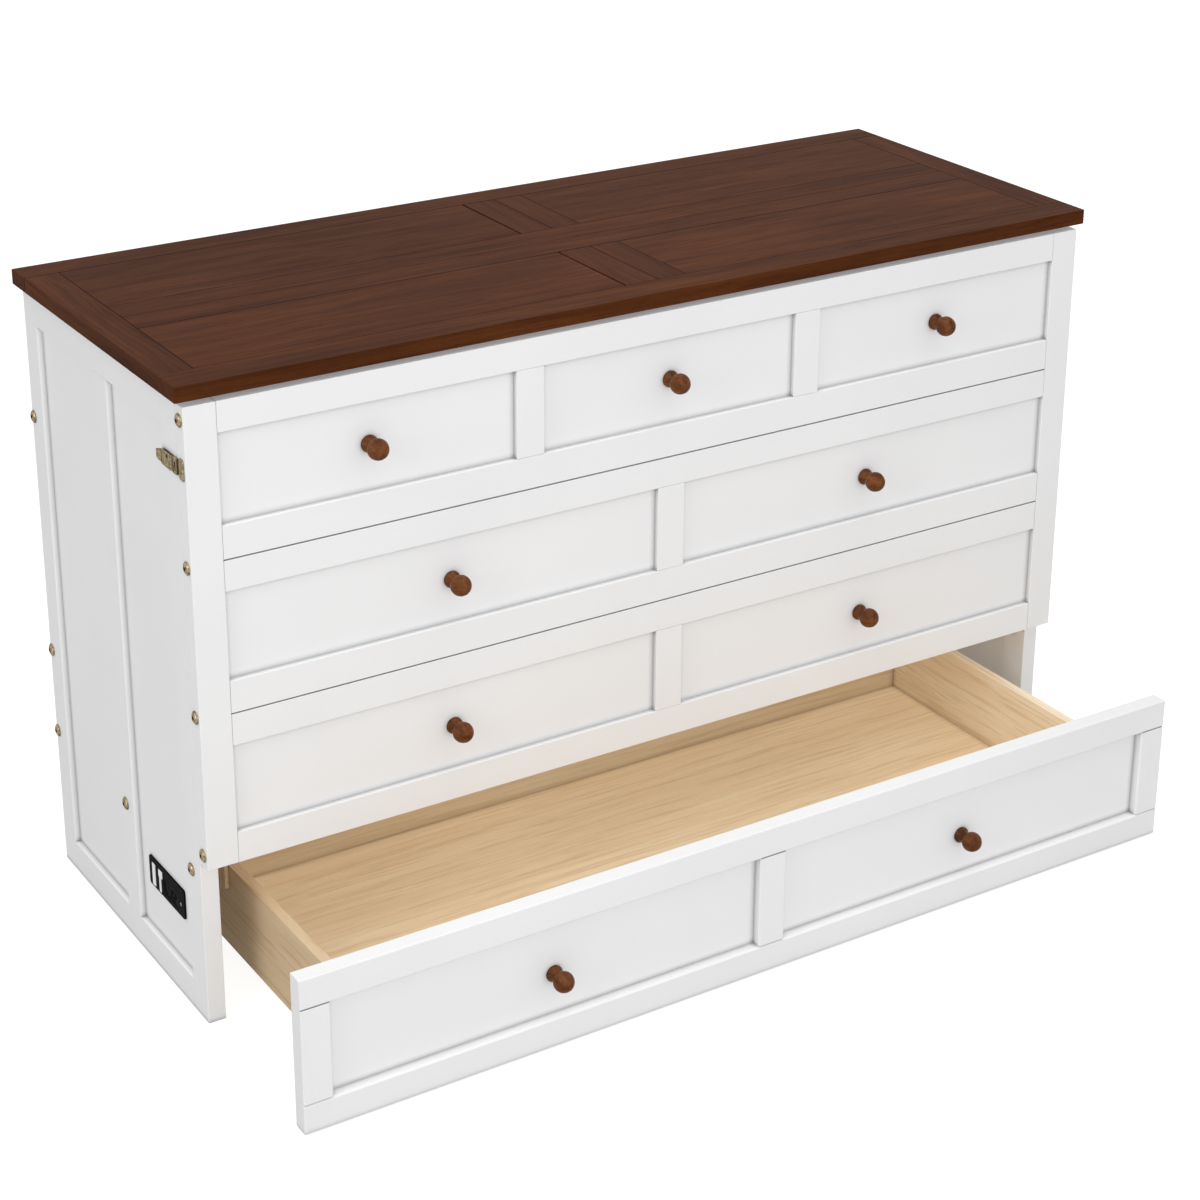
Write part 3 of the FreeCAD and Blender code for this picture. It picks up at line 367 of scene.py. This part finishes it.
# the drawer back is darker than the other pine, as painted shade inside the drawer
backShade = 0.73
backTones = {key: [backShade * part for part in tone] for key, tone in pineTones.items()}
# the drawer sides: lighter tones as painted light for the bright inner wall of the right side
sidePaintedLightTones = {**pineTones, "dark": (0.90, 0.76, 0.56), "light": (0.97, 0.88, 0.70)}

# glue lines of the lid: axis, place, half width, strength
longJoints = [("Y", -90, 1.2, 0.5), ("Y", 109, 2.3, 0.9), ("Y", 167, 1.4, 0.4), ("Y", 224, 1.5, 0.6),
              ("Y", 418, 2.0, 0.9)]
endJoints = [("X", -767, 1.4, 0.8), ("X", 767, 1.5, 0.9)]
crossJoints = [("X", -54, 1.5, 1.0), ("X", 6, 1.3, 0.9), ("X", 58, 1.3, 0.8)]
lidLook = {"streaks": 48.0, "lines": 260.0, "wave": 0.03, "lineMix": 0.45, "span": (0.26, 0.76)}
knobLook = {"streaks": 70.0, "lines": 400.0, "wave": 0.004, "rough": (0.3, 0.42), "specular": 0.1, "bump": 0.05,
            "drift": 0.05}
pineLook = {"streaks": 22.0, "lines": 150.0, "wave": 0.02, "lineMix": 0.5, "poreMix": 0.12, "drift": 0.06,
            "board": 0.05, "knot": 0.75, "specular": 0.3, "bump": 0.08}
# a strong tone difference between the two side boards darkens one, as painted shade for the shadow on the left side
sidePaintedShadeLook = {**pineLook, "board": 0.38, "specular": 0.1}

# every wood: tones, way of the grain, start and pitch of its board cells in metres, look
woods = {
    "walnutPanels": (walnutTones, "x", (-5, -0.835, 0), (5, 1, 9),
                     {**lidLook, "seams": longJoints + endJoints + crossJoints}),
    "walnutRails": (walnutTones, "x", (-50, -0.833, 0), (100, 1, 9), {**lidLook, "seams": longJoints + endJoints}),
    "walnutFront": (walnutTones, "x", (-50, -5, 0), (100, 5, 9), {**lidLook, "seams": longJoints}),
    "walnutCross": (walnutTones, "y", (-4.994, -0.835, 0), (5, 1, 9),
                    {**lidLook, "seams": longJoints + crossJoints}),
    "walnutEnds": (walnutTones, "y", (-3, -50, 0), (3, 100, 9), {**lidLook, "seams": endJoints}),
    "walnutKnob": (knobTones, "y", (-2.535, -9, 0.032), (0.26, 20, 0.246), knobLook),
    "pineBoards": (pineTones, "x", (-50, -3, -9), (100, 3.14, 9.25), pineLook),
    "pineBack": (backTones, "x", (-50, -3, -9), (100, 20, 20), pineLook),
    "pineSides": (sidePaintedLightTones, "y", (-10, -229, -9), (5, 20, 20), sidePaintedShadeLook),
    "pineDeckSlats": (pineTones, "y", (-0.0735, -9, -9), (0.147, 20, 20), pineLook),
    "pineFootSlats": (pineTones, "x", (-9, -9, 0.285), (20, 20, 0.10577), pineLook),
    "pineUpright": (pineTones, "z", (-0.5, -9, -9), (0.5, 20, 20), pineLook),
}
# every other finish: two tones and what differs from coatLook
coats = {
    # the white paint's deep tone and corner give strong painted shade in its joints, gaps and under the lid
    "whitePaint": ((0.775, 0.775, 0.78), (0.795, 0.795, 0.80), {"deep": (0.17, 0.17, 0.175), "corner": (10, 0.85)}),
    "grooveShade": ((0.06, 0.06, 0.062), (0.08, 0.08, 0.082), {"rough": (0.6, 0.7), "specular": 0.1}),
    "paleFloor": ((0.5, 0.5, 0.5), (0.51, 0.51, 0.51),
                  {"rough": (0.8, 0.9), "peel": 60.0, "clouds": 0.7, "bump": 0.01}),
    "antiqueBrass": ((0.29, 0.22, 0.12), (0.70, 0.57, 0.35),
                     {"rough": (0.46, 0.3), "peel": 420.0, "clouds": 210.0, "bump": 0.1, "metallic": 1.0,
                      "specular": 0.5, "deep": (0.07, 0.045, 0.02), "corner": (5, 1.0)}),
    "zincSteel": ((0.46, 0.46, 0.47), (0.62, 0.62, 0.62),
                  {"rough": (0.42, 0.28), "peel": 500.0, "clouds": 60.0, "metallic": 1.0, "specular": 0.5}),
    # the darker brass: painted shade for recesses and faces turned from the light, partly patina
    "brassShadeAndPatina": ((0.035, 0.022, 0.012), (0.10, 0.068, 0.035),
                  {"rough": (0.6, 0.45), "peel": 420.0, "clouds": 130.0, "bump": 0.1, "metallic": 1.0,
                   "specular": 0.5}),
    "blackPlastic": ((0.003, 0.003, 0.0035), (0.006, 0.006, 0.0065),
                     {"rough": (0.45, 0.6), "peel": 1200.0, "clouds": 20.0, "bump": 0.1, "specular": 0.03}),
    "whitePlastic": ((0.80, 0.80, 0.80), (0.84, 0.84, 0.84),
                     {"rough": (0.28, 0.36), "peel": 1200.0, "clouds": 20.0, "bump": 0.03}),
    "casterRubber": ((0.03, 0.03, 0.032), (0.05, 0.05, 0.052),
                     {"rough": (0.55, 0.7), "peel": 500.0, "clouds": 40.0, "bump": 0.2, "specular": 0.3}),
}
finish = {name: wood(name, *recipe) for name, recipe in woods.items()}
for name, (low, high, changes) in coats.items():
    finish[name] = coated(name, low, high, **changes)
wears = {
    "walnutPanels": ["lid_panels"], "walnutRails": ["lid_centre_rails"],
    "walnutFront": ["lid_front_rail", "lid_rear_rail"], "walnutCross": ["lid_cross_boards"],
    "walnutEnds": ["lid_end_boards"], "walnutKnob": ["front_knobs", "drawer_knobs"],
    "pineBack": ["drawer_back"],
    "pineBoards": ["drawer_floor", "drawer_box_front", "front_deck_rail", "mid_deck_beam",
                   "rear_deck_beam", "foot_cross_rails", "leg_stretcher"],
    "pineSides": ["drawer_sides", "drawer_guides"], "pineDeckSlats": ["deck_slats"],
    "pineFootSlats": ["foot_slats"], "pineUpright": ["foot_side_rails", "leg_posts"],
    "antiqueBrass": ["side_bolts", "front_edge_bolts", "latch_bases", "left_latch_lever",
                     "right_latch_lever", "latch_keepers"],
    "zincSteel": ["front_hinge_fixed_halves", "front_hinge_moving_halves", "lid_hinge_fixed_halves",
                  "lid_hinge_moving_halves", "foot_hinge_fixed_halves", "foot_hinge_moving_halves",
                  "leg_pivot_bolts", "caster_brackets"],
    "grooveShade": ["front_splines"], "blackPlastic": ["outlet_plate"], "whitePlastic": ["outlet_inserts"],
    "casterRubber": [f"caster_wheel_{a}_{b}" for a in ("front", "back") for b in ("left", "right")],
}
finishOf = {node: name for name, group in wears.items() for node in group}
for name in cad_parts:
    piece = bpy.data.objects[name]
    piece.data.materials.clear()
    piece.data.materials.append(finish[finishOf.get(name, "whitePaint")])
floor.data.materials.append(finish["paleFloor"])
floorTree = finish["paleFloor"].node_tree
glow = floorTree.nodes["Principled BSDF"].inputs
glow["Emission Color"].default_value = (1, 1, 1, 1)
ray = floorTree.nodes.new("ShaderNodeLightPath").outputs["Is Camera Ray"]
floorTree.links.new(rangeNode(floorTree, ray, 0, 1, 0, studio["floorGlow"]), glow["Emission Strength"])
print("finishes given")


# small helpers for modelling by hand

def only(*things):
    bpy.ops.object.select_all(action="DESELECT")
    for thing in things:
        thing.select_set(True)
    bpy.context.view_layer.objects.active = things[0]


def settle(piece, name):
    # its place, turn and size go into the mesh, so the object itself sits at the origin
    only(piece)
    piece.name = name
    bpy.ops.object.transform_apply(location=True, rotation=True, scale=True)
    return piece


def block(name, low, high):
    # a plain block between two corners, in millimetres, opened for shaping
    middle = [(a + b) / 2 * mm for a, b in zip(low, high)]
    bpy.ops.object.select_all(action="DESELECT")
    bpy.ops.mesh.primitive_cube_add(size=1, location=middle)
    piece = bpy.context.active_object
    piece.scale = [(b - a) * mm for a, b in zip(low, high)]
    settle(piece, name)
    bpy.ops.object.mode_set(mode="EDIT")
    return piece


def choose(kind, test):
    # picks the faces or edges of the open piece whose middle and direction pass the test, in millimetres
    bpy.ops.mesh.select_mode(type={"faces": "FACE", "edges": "EDGE"}[kind])
    bpy.ops.mesh.select_all(action="DESELECT")
    mesh = bmesh.from_edit_mesh(bpy.context.edit_object.data)
    for part in getattr(mesh, kind):
        ends = [corner.co for corner in part.verts]
        middle = sum(ends, Vector()) / len(ends) / mm
        facing = part.normal if kind == "faces" else (ends[1] - ends[0]).normalized()
        if test(middle, facing):
            part.select_set(True)
    bmesh.update_edit_mesh(bpy.context.edit_object.data)


def cut(places, axis):
    # slices right through the open piece at the places given along one axis
    for place in places:
        bpy.ops.mesh.select_all(action="SELECT")
        spot = [place * mm * part for part in axis]
        bpy.ops.mesh.bisect(plane_co=spot, plane_no=axis)


def push(step):
    bpy.ops.mesh.extrude_region_move(TRANSFORM_OT_translate={"value": [part * mm for part in step]})


def inset(width):
    bpy.ops.mesh.inset(thickness=width * mm, depth=0)


smoothAngle, easeAngle, weld = 30, 35, 0.005


def closed(piece, angle=smoothAngle):
    # leaves edit mode with faces outwards and a smooth look up to the angle
    bpy.ops.mesh.select_all(action="SELECT")
    bpy.ops.mesh.remove_doubles(threshold=weld * mm)
    bpy.ops.mesh.normals_make_consistent(inside=False)
    bpy.ops.object.mode_set(mode="OBJECT")
    only(piece)
    bpy.ops.object.shade_smooth_by_angle(angle=math.radians(angle))
    return piece


def softened(piece, width):
    # eases the sharp edges by a width in millimetres
    only(piece)
    ease = piece.modifiers.new("ease", "BEVEL")
    ease.width = width * mm
    ease.segments = 2
    ease.limit_method = "ANGLE"
    ease.angle_limit = math.radians(easeAngle)
    bpy.ops.object.modifier_apply(modifier=ease.name)
    bpy.ops.object.shade_smooth_by_angle(angle=math.radians(smoothAngle))
    return piece


def punched(piece, punch):
    # cuts the punch out of the piece and takes it away
    only(piece)
    hollow = piece.modifiers.new("hollow", "BOOLEAN")
    hollow.operation = "DIFFERENCE"
    hollow.solver = "EXACT"
    hollow.object = punch
    bpy.ops.object.modifier_apply(modifier=hollow.name)
    only(punch)
    bpy.ops.object.delete()


def turned(name, foot, axis, rings, sides):
    # a disc drawn out along its axis and widened or narrowed at every ring, as on a lathe, in millimetres
    foot, axis = Vector(foot), Vector(axis)
    (start, radius), *rest = rings
    bpy.ops.object.select_all(action="DESELECT")
    bpy.ops.mesh.primitive_circle_add(vertices=sides, radius=radius * mm, fill_type="NGON",
                                      location=(foot + axis * start) * mm,
                                      rotation=axis.to_track_quat("Z", "Y").to_euler())
    piece = settle(bpy.context.active_object, name)
    bpy.ops.object.mode_set(mode="EDIT")
    bpy.ops.mesh.select_all(action="SELECT")
    for out, wide in rest:
        push(axis * (out - start))
        grow = [1.0 if part else wide / radius for part in axis]
        bpy.ops.transform.resize(value=grow, center_override=(foot + axis * out) * mm)
        start, radius = out, wide
    return closed(piece)


def twin(piece, name, shift=(0, 0, 0), mirrored=False):
    # a copy with its own mesh, moved in millimetres or mirrored to the right-hand side
    only(piece)
    bpy.ops.object.duplicate()
    copy = bpy.context.active_object
    copy.location = [part * mm for part in shift]
    if mirrored:
        copy.scale.x = -1
    settle(copy, name)
    if mirrored:
        bpy.ops.object.mode_set(mode="EDIT")
        bpy.ops.mesh.select_all(action="SELECT")
        bpy.ops.mesh.normals_make_consistent(inside=False)
        bpy.ops.object.mode_set(mode="OBJECT")
    return copy


def joined(first, *others):
    only(first, *others)
    bpy.ops.object.join()
    return bpy.context.active_object


def fitted(piece, body, node, coat=None):
    # rides on its body, stands for its CAD node and wears a finish, unless it has its own already
    if coat:
        piece.data.materials.clear()
        piece.data.materials.append(finish[coat])
    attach(piece, body)
    if node:
        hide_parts(node)


def brassed(piece):
    # brass and a darker copy of it, painted shade in recesses and on faces turned from the light, partly patina;
    # paint() tells which faces wear which
    piece.data.materials.append(finish["antiqueBrass"])
    piece.data.materials.append(finish["brassShadeAndPatina"])
    return piece


def paint(shade):
    bpy.context.object.active_material_index = {"bright": 0, "dark": 1}[shade]
    bpy.ops.object.material_slot_assign()


# turned walnut knobs: a foot disc, a hollow waist and a mushroom head
knob = {"rings": [(0, 13.2), (0.7, 13.5), (3.2, 13.5), (4.3, 12.9), (5.6, 11.5), (7.6, 9.8), (10.2, 8.8),
                  (13, 8.8), (15.4, 9.8), (17.4, 11.5), (19.4, 13.3), (22, 15.0), (25, 16.1), (28, 16.5),
                  (31.5, 16.1), (35, 15.0), (38.2, 13.2), (41, 10.8), (43.2, 7.9), (44.7, 4.8), (45.5, 1.6)],
        "sides": 48, "frontFace": -135.4, "drawerFace": -428.2,
        "front": [(-521, 893), (0, 893), (521, 893), (-389, 647), (389, 647), (-389, 401), (389, 401)],
        "drawer": [(-388, 118), (388, 118)]}
x, z = knob["front"][0]
firstKnob = turned("frontKnob1", (x, knob["frontFace"], z), (0, -1, 0), knob["rings"], knob["sides"])
knobs = [firstKnob]
for count, (across, up) in enumerate(knob["front"][1:], 2):
    knobs.append(twin(firstKnob, f"frontKnob{count}", (across - x, 0, up - z)))
for each in knobs:
    fitted(each, "front", "front_knobs", "walnutKnob")
for count, (across, up) in enumerate(knob["drawer"], 1):
    each = twin(firstKnob, f"drawerKnob{count}", (across - x, knob["drawerFace"] - knob["frontFace"], up - z))
    fitted(each, "drawer", "drawer_knobs", "walnutKnob")
print("knobs turned")

# domed connector bolts with a rolled rim and a hex socket, with painted shade in the socket and behind the rim
bolt = {"rings": [(0, 10.2), (0.4, 10.5), (1.0, 10.4), (1.5, 9.9), (1.7, 9.2), (2.3, 8.9), (3.1, 7.9), (3.8, 6.5),
                  (4.2, 5.2), (4.4, 4.2)],
        "sides": 32, "socketAcross": 3.5, "socketDepth": 2.6, "wall": -810, "shadeWithin": 3.45, "shadeBelow": 4.38,
        "shadeRing": (1.45, 1.75), "side": [(-83, 252), (169, 243.5), (456, 243.5), (456, 391), (456, 799)],
        "edge": [(-130.7, 299), (-130.7, 526), (-130.7, 761.5), (-130.7, 985)]}
y, z = bolt["side"][0]
firstBolt = turned("sideBolt1", (bolt["wall"], y, z), (-1, 0, 0), bolt["rings"], bolt["sides"])
bpy.ops.object.select_all(action="DESELECT")
bpy.ops.mesh.primitive_cone_add(vertices=6, radius1=bolt["socketAcross"] * mm, radius2=bolt["socketAcross"] * mm,
                                depth=bolt["socketDepth"] * 2 * mm, rotation=(0, math.pi / 2, 0),
                                location=((bolt["wall"] - bolt["rings"][-1][0]) * mm, y * mm, z * mm))
hexPunch = settle(bpy.context.active_object, "hexPunch")
brassed(firstBolt)
punched(firstBolt, hexPunch)
only(firstBolt)
bpy.ops.object.mode_set(mode="EDIT")
# painted shade in the hex socket
choose("faces", lambda m, n: (m - Vector((m.x, y, z))).length < bolt["shadeWithin"]
       and m.x > bolt["wall"] - bolt["shadeBelow"])
paint("dark")
# painted shade on the step behind the rim
near, far = bolt["shadeRing"]
choose("faces", lambda m, n: bolt["wall"] - far < m.x < bolt["wall"] - near)
paint("dark")
closed(firstBolt)
bolts = [firstBolt]
for count, (along, up) in enumerate(bolt["side"][1:], 2):
    bolts.append(twin(firstBolt, f"sideBolt{count}", (0, along - y, up - z)))
edgeBolts = [twin(firstBolt, f"edgeBolt{count}", (0, along - y, up - z))
             for count, (along, up) in enumerate(bolt["edge"], 1)]
for group, body, node in ((bolts, "case", "side_bolts"), (edgeBolts, "front", "front_edge_bolts")):
    for each in group + [twin(each, f"{each.name}Right", mirrored=True) for each in group]:
        fitted(each, body, node)
print("bolts set")

# latches: a ribbed base, a flared thumb lever on a pin, and a domed keeper on the folding front
latch = {"low": 901, "high": 925, "plate": (-811, -810), "back": -71.5, "edge": -115, "rim": 1.6,
         "nose": (-122, -109), "noseOut": -814.4, "noseIn": -810.7, "wideGroove": (-113, -110.6),
         "slimGroove": (-119.4, -115.8), "slot": (906, 920), "pin": (-813.3, -104), "lug": 1.9, "lugHigh": 3.6,
         "lugIn": 0.4, "neck": 1.5,
         "pinRings": [(0, 1.0), (0.3, 1.2), (0.6, 0.9), (23.4, 0.9), (23.7, 1.2), (24, 1.0)]}


def sink(test, depth, margin=0.0):
    # presses the picked outer faces of the open piece in and gives the recess painted shade
    choose("faces", test)
    if margin:
        inset(margin)
    push((depth, 0, 0))
    paint("dark")


plate = brassed(block("latchBaseLeft", (latch["plate"][0], latch["edge"], latch["low"]),
                      (latch["plate"][1], latch["back"], latch["high"])))
closed(plate)
softened(plate, 0.25)
nose = brassed(block("latchNose", (latch["noseOut"], latch["nose"][0], latch["low"]),
                     (latch["noseIn"], latch["nose"][1], latch["high"])))
wide, slim, slot = latch["wideGroove"], latch["slimGroove"], latch["slot"]
inner = (latch["low"] + latch["rim"], latch["high"] - latch["rim"])
cut([*wide, *slim], (0, 1, 0))
cut([*slot, *inner], (0, 0, 1))
# the nose's two grooves, sunk and given painted shade
sink(lambda m, n: n.x < -0.9 and wide[0] < m.y < wide[1] and inner[0] < m.z < inner[1], 0.9)
sink(lambda m, n: n.x < -0.9 and slim[0] < m.y < slim[1] and slot[0] < m.z < slot[1], 2.2)
# painted shade on the nose's end faces and groove walls, which face along the latch
choose("faces", lambda m, n: abs(n.y) > 0.9 and latch["nose"][0] + 0.5 < m.y < latch["nose"][1] + 0.5)
paint("dark")
closed(nose)
softened(nose, 0.3)
lugs = []
pinX, pinY = latch["pin"]
lugLow, lugHigh = latch["low"] + latch["lugIn"], latch["high"] - latch["lugIn"]
for low, high in ((lugLow, lugLow + latch["lugHigh"]), (lugHigh - latch["lugHigh"], lugHigh)):
    eye = turned("latchEye", (pinX, pinY, low), (0, 0, 1),
                 [(0, latch["lug"] - 0.3), (0.3, latch["lug"]), (high - low - 0.3, latch["lug"]),
                  (high - low, latch["lug"] - 0.3)], 24)
    neck = brassed(block("latchNeck", (pinX, pinY - latch["neck"], low + 0.2),
                         (latch["plate"][0] + 0.2, pinY + latch["neck"], high - 0.2)))
    closed(neck)
    softened(neck, 0.2)
    lugs += [eye, neck]
pin = turned("latchPin", (pinX, pinY, latch["low"]), (0, 0, 1), latch["pinRings"], 20)
for each in lugs + [pin]:
    if not each.data.materials:
        each.data.materials.append(finish["antiqueBrass"])
baseLeft = joined(plate, nose, pin, *lugs)

# the lever: recesses are (from, to, low, high, depth); every bend gives its step and how far the end narrows
lever = {"arm": (-814.6, -813.3), "from": -101, "recesses": [(-94, -87, 915.8, 921.6, 1.1),
                                                             (-98.8, -96.2, 903.5, 914.5, 0.5)],
         "rib": 1.6, "kink": (0.5, 2.2, 0), "kinkNarrow": (0.8, 1, 0.86), "kinkCentre": (-813.7, 0, 914),
         "bends": [((-2.108, 5.2, 0.6), 0.86, 914.8), ((-1.292, 4.6, 0.6), 0.74, 915.6)],
         "barrelFoot": 905.4, "barrelRings": [(0, 1.6), (0.3, 1.9), (5, 1.9), (5.2, 1.6), (5.6, 1.6), (5.8, 1.9),
                                              (9.6, 1.9), (9.8, 1.6), (10.2, 1.6), (10.4, 1.9), (14.9, 1.9),
                                              (15.2, 1.6)],
         "strap": ((-814.8, -104, 905.6), (-813.3, -100.4, 920.4))}
back = latch["back"]
thumb = brassed(block("latchLeverLeft", (lever["arm"][0], lever["from"], latch["low"]),
                      (lever["arm"][1], back, latch["high"])))
pocket, dimple = lever["recesses"]
cut([*pocket[:2], *dimple[:2], back - lever["rib"]], (0, 1, 0))
cut([*pocket[2:4], *dimple[2:4]], (0, 0, 1))
# the lever's two recesses, sunk and given painted shade
for left, right, bottom, top, depth in lever["recesses"]:
    sink(lambda m, n: n.x < -0.9 and left < m.y < right and bottom < m.z < top, depth, 0.3)
choose("faces", lambda m, n: n.y > 0.9 and m.y > back - 0.1)
push(lever["kink"])
bpy.ops.transform.resize(value=lever["kinkNarrow"], center_override=[part * mm for part in lever["kinkCentre"]])
# painted shade on the crease where the tab bends out from the arm
choose("faces", lambda m, n: n.x < -0.3 and m.y > back - 1.7)
paint("dark")
choose("faces", lambda m, n: n.y > 0.7 and m.y > back + 2)
for step, narrow, middle in lever["bends"]:
    push(step)
    bpy.ops.transform.resize(value=(1, 1, narrow), center_override=(0, 0, middle * mm))
choose("faces", lambda m, n: n.x < -0.3 and m.y > back + 2.3)
paint("bright")
closed(thumb)
softened(thumb, 0.2)
barrel = turned("latchBarrel", (pinX, pinY, lever["barrelFoot"]), (0, 0, 1), lever["barrelRings"], 24)
barrel.data.materials.append(finish["antiqueBrass"])
strap = brassed(block("latchStrap", *lever["strap"]))
closed(strap)
softened(strap, 0.25)
leverLeft = joined(thumb, barrel, strap)

# the keeper: rings are (inset, rise) and make its dome
keeper = {"low": (-811.2, -140, 895), "high": (-810, -124, 928), "corner": 5.6,
          "rings": [(0.4, -0.3), (0.9, -0.6), (1.3, -0.4), (1.4, -0.2), (1.2, -0.06)], "smooth": 40}
keeperLeft = brassed(block("latchKeeperLeft", keeper["low"], keeper["high"]))
choose("edges", lambda m, d: abs(d.x) > 0.9)
bpy.ops.mesh.bevel(offset=keeper["corner"] * mm, segments=6, affect="EDGES")
choose("faces", lambda m, n: n.x < -0.9)
for width, rise in keeper["rings"]:
    inset(width)
    bpy.ops.transform.translate(value=(rise * mm, 0, 0))
# painted shade on the keeper's faces turned towards the back
choose("faces", lambda m, n: n.y > 0.25)
paint("dark")
closed(keeperLeft, keeper["smooth"])
for piece, body, node in ((baseLeft, "case", "latch_bases"), (leverLeft, "left_latch", "left_latch_lever"),
                          (keeperLeft, "front", "latch_keepers")):
    other = twin(piece, piece.name.replace("Left", "Right"), mirrored=True)
    fitted(piece, body, node)
    fitted(other, body.replace("left", "right"), node.replace("left", "right"))
print("latches fitted")

# tongues of the lid panels, seen in the two open gaps beside the cross boards
tongue = {"across": (-56, -50), "deep": (1021, 1031), "runs": [(-90, 109), (224, 418)]}
for count, (near, far) in enumerate(tongue["runs"], 1):
    strip = block(f"lidTongue{count}", (tongue["across"][0], near, tongue["deep"][0]),
                  (tongue["across"][1], far, tongue["deep"][1]))
    closed(strip)
    softened(strip, 0.8)
    fitted(strip, "lid", None, "walnutCross")

# countersunk screws in the fixed leaves of the lid hinges, on the back
hingeScrew = {"rings": [(-0.4, 3.7), (0.1, 3.8), (0.5, 3.3), (0.7, 2.2)], "face": 466.5, "hinges": [-610, 0, 610],
              "around": [(-21, 1001), (0, 991), (21, 1001)], "cross": (0.8, 3.6), "crossDeep": (0.3, 2)}
spots = [(hinge + side, up) for hinge in hingeScrew["hinges"] for side, up in hingeScrew["around"]]
x, z = spots[0]
firstScrew = turned("hingeScrew1", (x, hingeScrew["face"], z), (0, 1, 0), hingeScrew["rings"], 24)
firstScrew.data.materials.append(finish["zincSteel"])
thin, long = hingeScrew["cross"]
near, far = (hingeScrew["face"] + part for part in hingeScrew["crossDeep"])
for across, up in ((thin, long), (long, thin)):
    punch = block("crossPunch", (x - across / 2, near, z - up / 2), (x + across / 2, far, z + up / 2))
    closed(punch)
    punched(firstScrew, punch)
screws = [firstScrew]
for count, (along, up) in enumerate(spots[1:], 2):
    screws.append(twin(firstScrew, f"hingeScrew{count}", (along - x, 0, up - z)))
for each in screws:
    fitted(each, "case", None, "zincSteel")
print("lid tongues and hinge screws set")

# power outlet in the left side: a moulded plate, a sunk socket block, two white ports and a brass screw
outlet = {"low": (-803.5, -29.2, 133), "high": (-800.5, 104.1, 183.5), "corner": 4.5, "rim": 0.9,
          "sockets": (-7, 50.5, 139.5, 167), "sunk": 0.7, "socketAt": [8, 35.5], "blade": (6.2, 1.7, 154.5, 162),
          "earth": (146.5, 2.2), "slotFrom": -805, "slotTo": -801.7, "screw": (-803.5, -16.4, 155),
          "screwRings": [(-0.6, 3.0), (0.1, 3.0), (0.45, 2.5), (0.6, 1.6)]}
cover = block("outletCover", outlet["low"], outlet["high"])
choose("edges", lambda m, d: abs(d.x) > 0.9)
bpy.ops.mesh.bevel(offset=outlet["corner"] * mm, segments=5, affect="EDGES")
choose("faces", lambda m, n: n.x < -0.9)
inset(outlet["rim"])
left, right, bottom, top = outlet["sockets"]
cut([left, right], (0, 1, 0))
cut([bottom, top], (0, 0, 1))
choose("faces", lambda m, n: n.x < -0.9 and left < m.y < right and bottom < m.z < top)
inset(0.5)
push((outlet["sunk"], 0, 0))
closed(cover)
softened(cover, 0.35)
punches = []
apart, thick, low, high = outlet["blade"]
up, radius = outlet["earth"]
for middle in outlet["socketAt"]:
    punches.append(turned("earthPunch", (outlet["slotTo"], middle, up), (-1, 0, 0),
                          [(0, radius - 0.3), (0.3, radius), (4, radius)], 20))
    for side in (-apart, apart):
        punch = block("slotPunch", (outlet["slotFrom"], middle + side - thick / 2, low),
                      (outlet["slotTo"], middle + side + thick / 2, high))
        choose("edges", lambda m, d: abs(d.x) > 0.9)
        bpy.ops.mesh.bevel(offset=0.4 * mm, segments=2, affect="EDGES")
        punches.append(closed(punch))
for punch in punches:
    punched(cover, punch)
fitted(cover, "case", "outlet_plate", "blackPlastic")
port = {"wide": ((-804.1, 79.8, 136.4), (-803.4, 91.5, 175.4)),
        "slim": ((-804.0, 58.4, 136.4), (-803.4, 65.4, 164)),
        "cap": ((-804.1, 52.9, 162.4), (-803.4, 67.3, 175.4))}
portEdge = {"corner": 1.4, "rim": 0.6, "dip": 0.15}
for label, (low, high) in port.items():
    piece = block(f"outletPort_{label}", low, high)
    choose("edges", lambda m, d: abs(d.x) > 0.9)
    bpy.ops.mesh.bevel(offset=portEdge["corner"] * mm, segments=4, affect="EDGES")
    choose("faces", lambda m, n: n.x < -0.9)
    inset(portEdge["rim"])
    bpy.ops.transform.translate(value=(portEdge["dip"] * mm, 0, 0))
    closed(piece)
    fitted(piece, "case", "outlet_inserts", "whitePlastic")
screw = turned("outletScrew", outlet["screw"], (-1, 0, 0), outlet["screwRings"], 24)
fitted(screw, "case", None, "antiqueBrass")
print("outlet fitted")
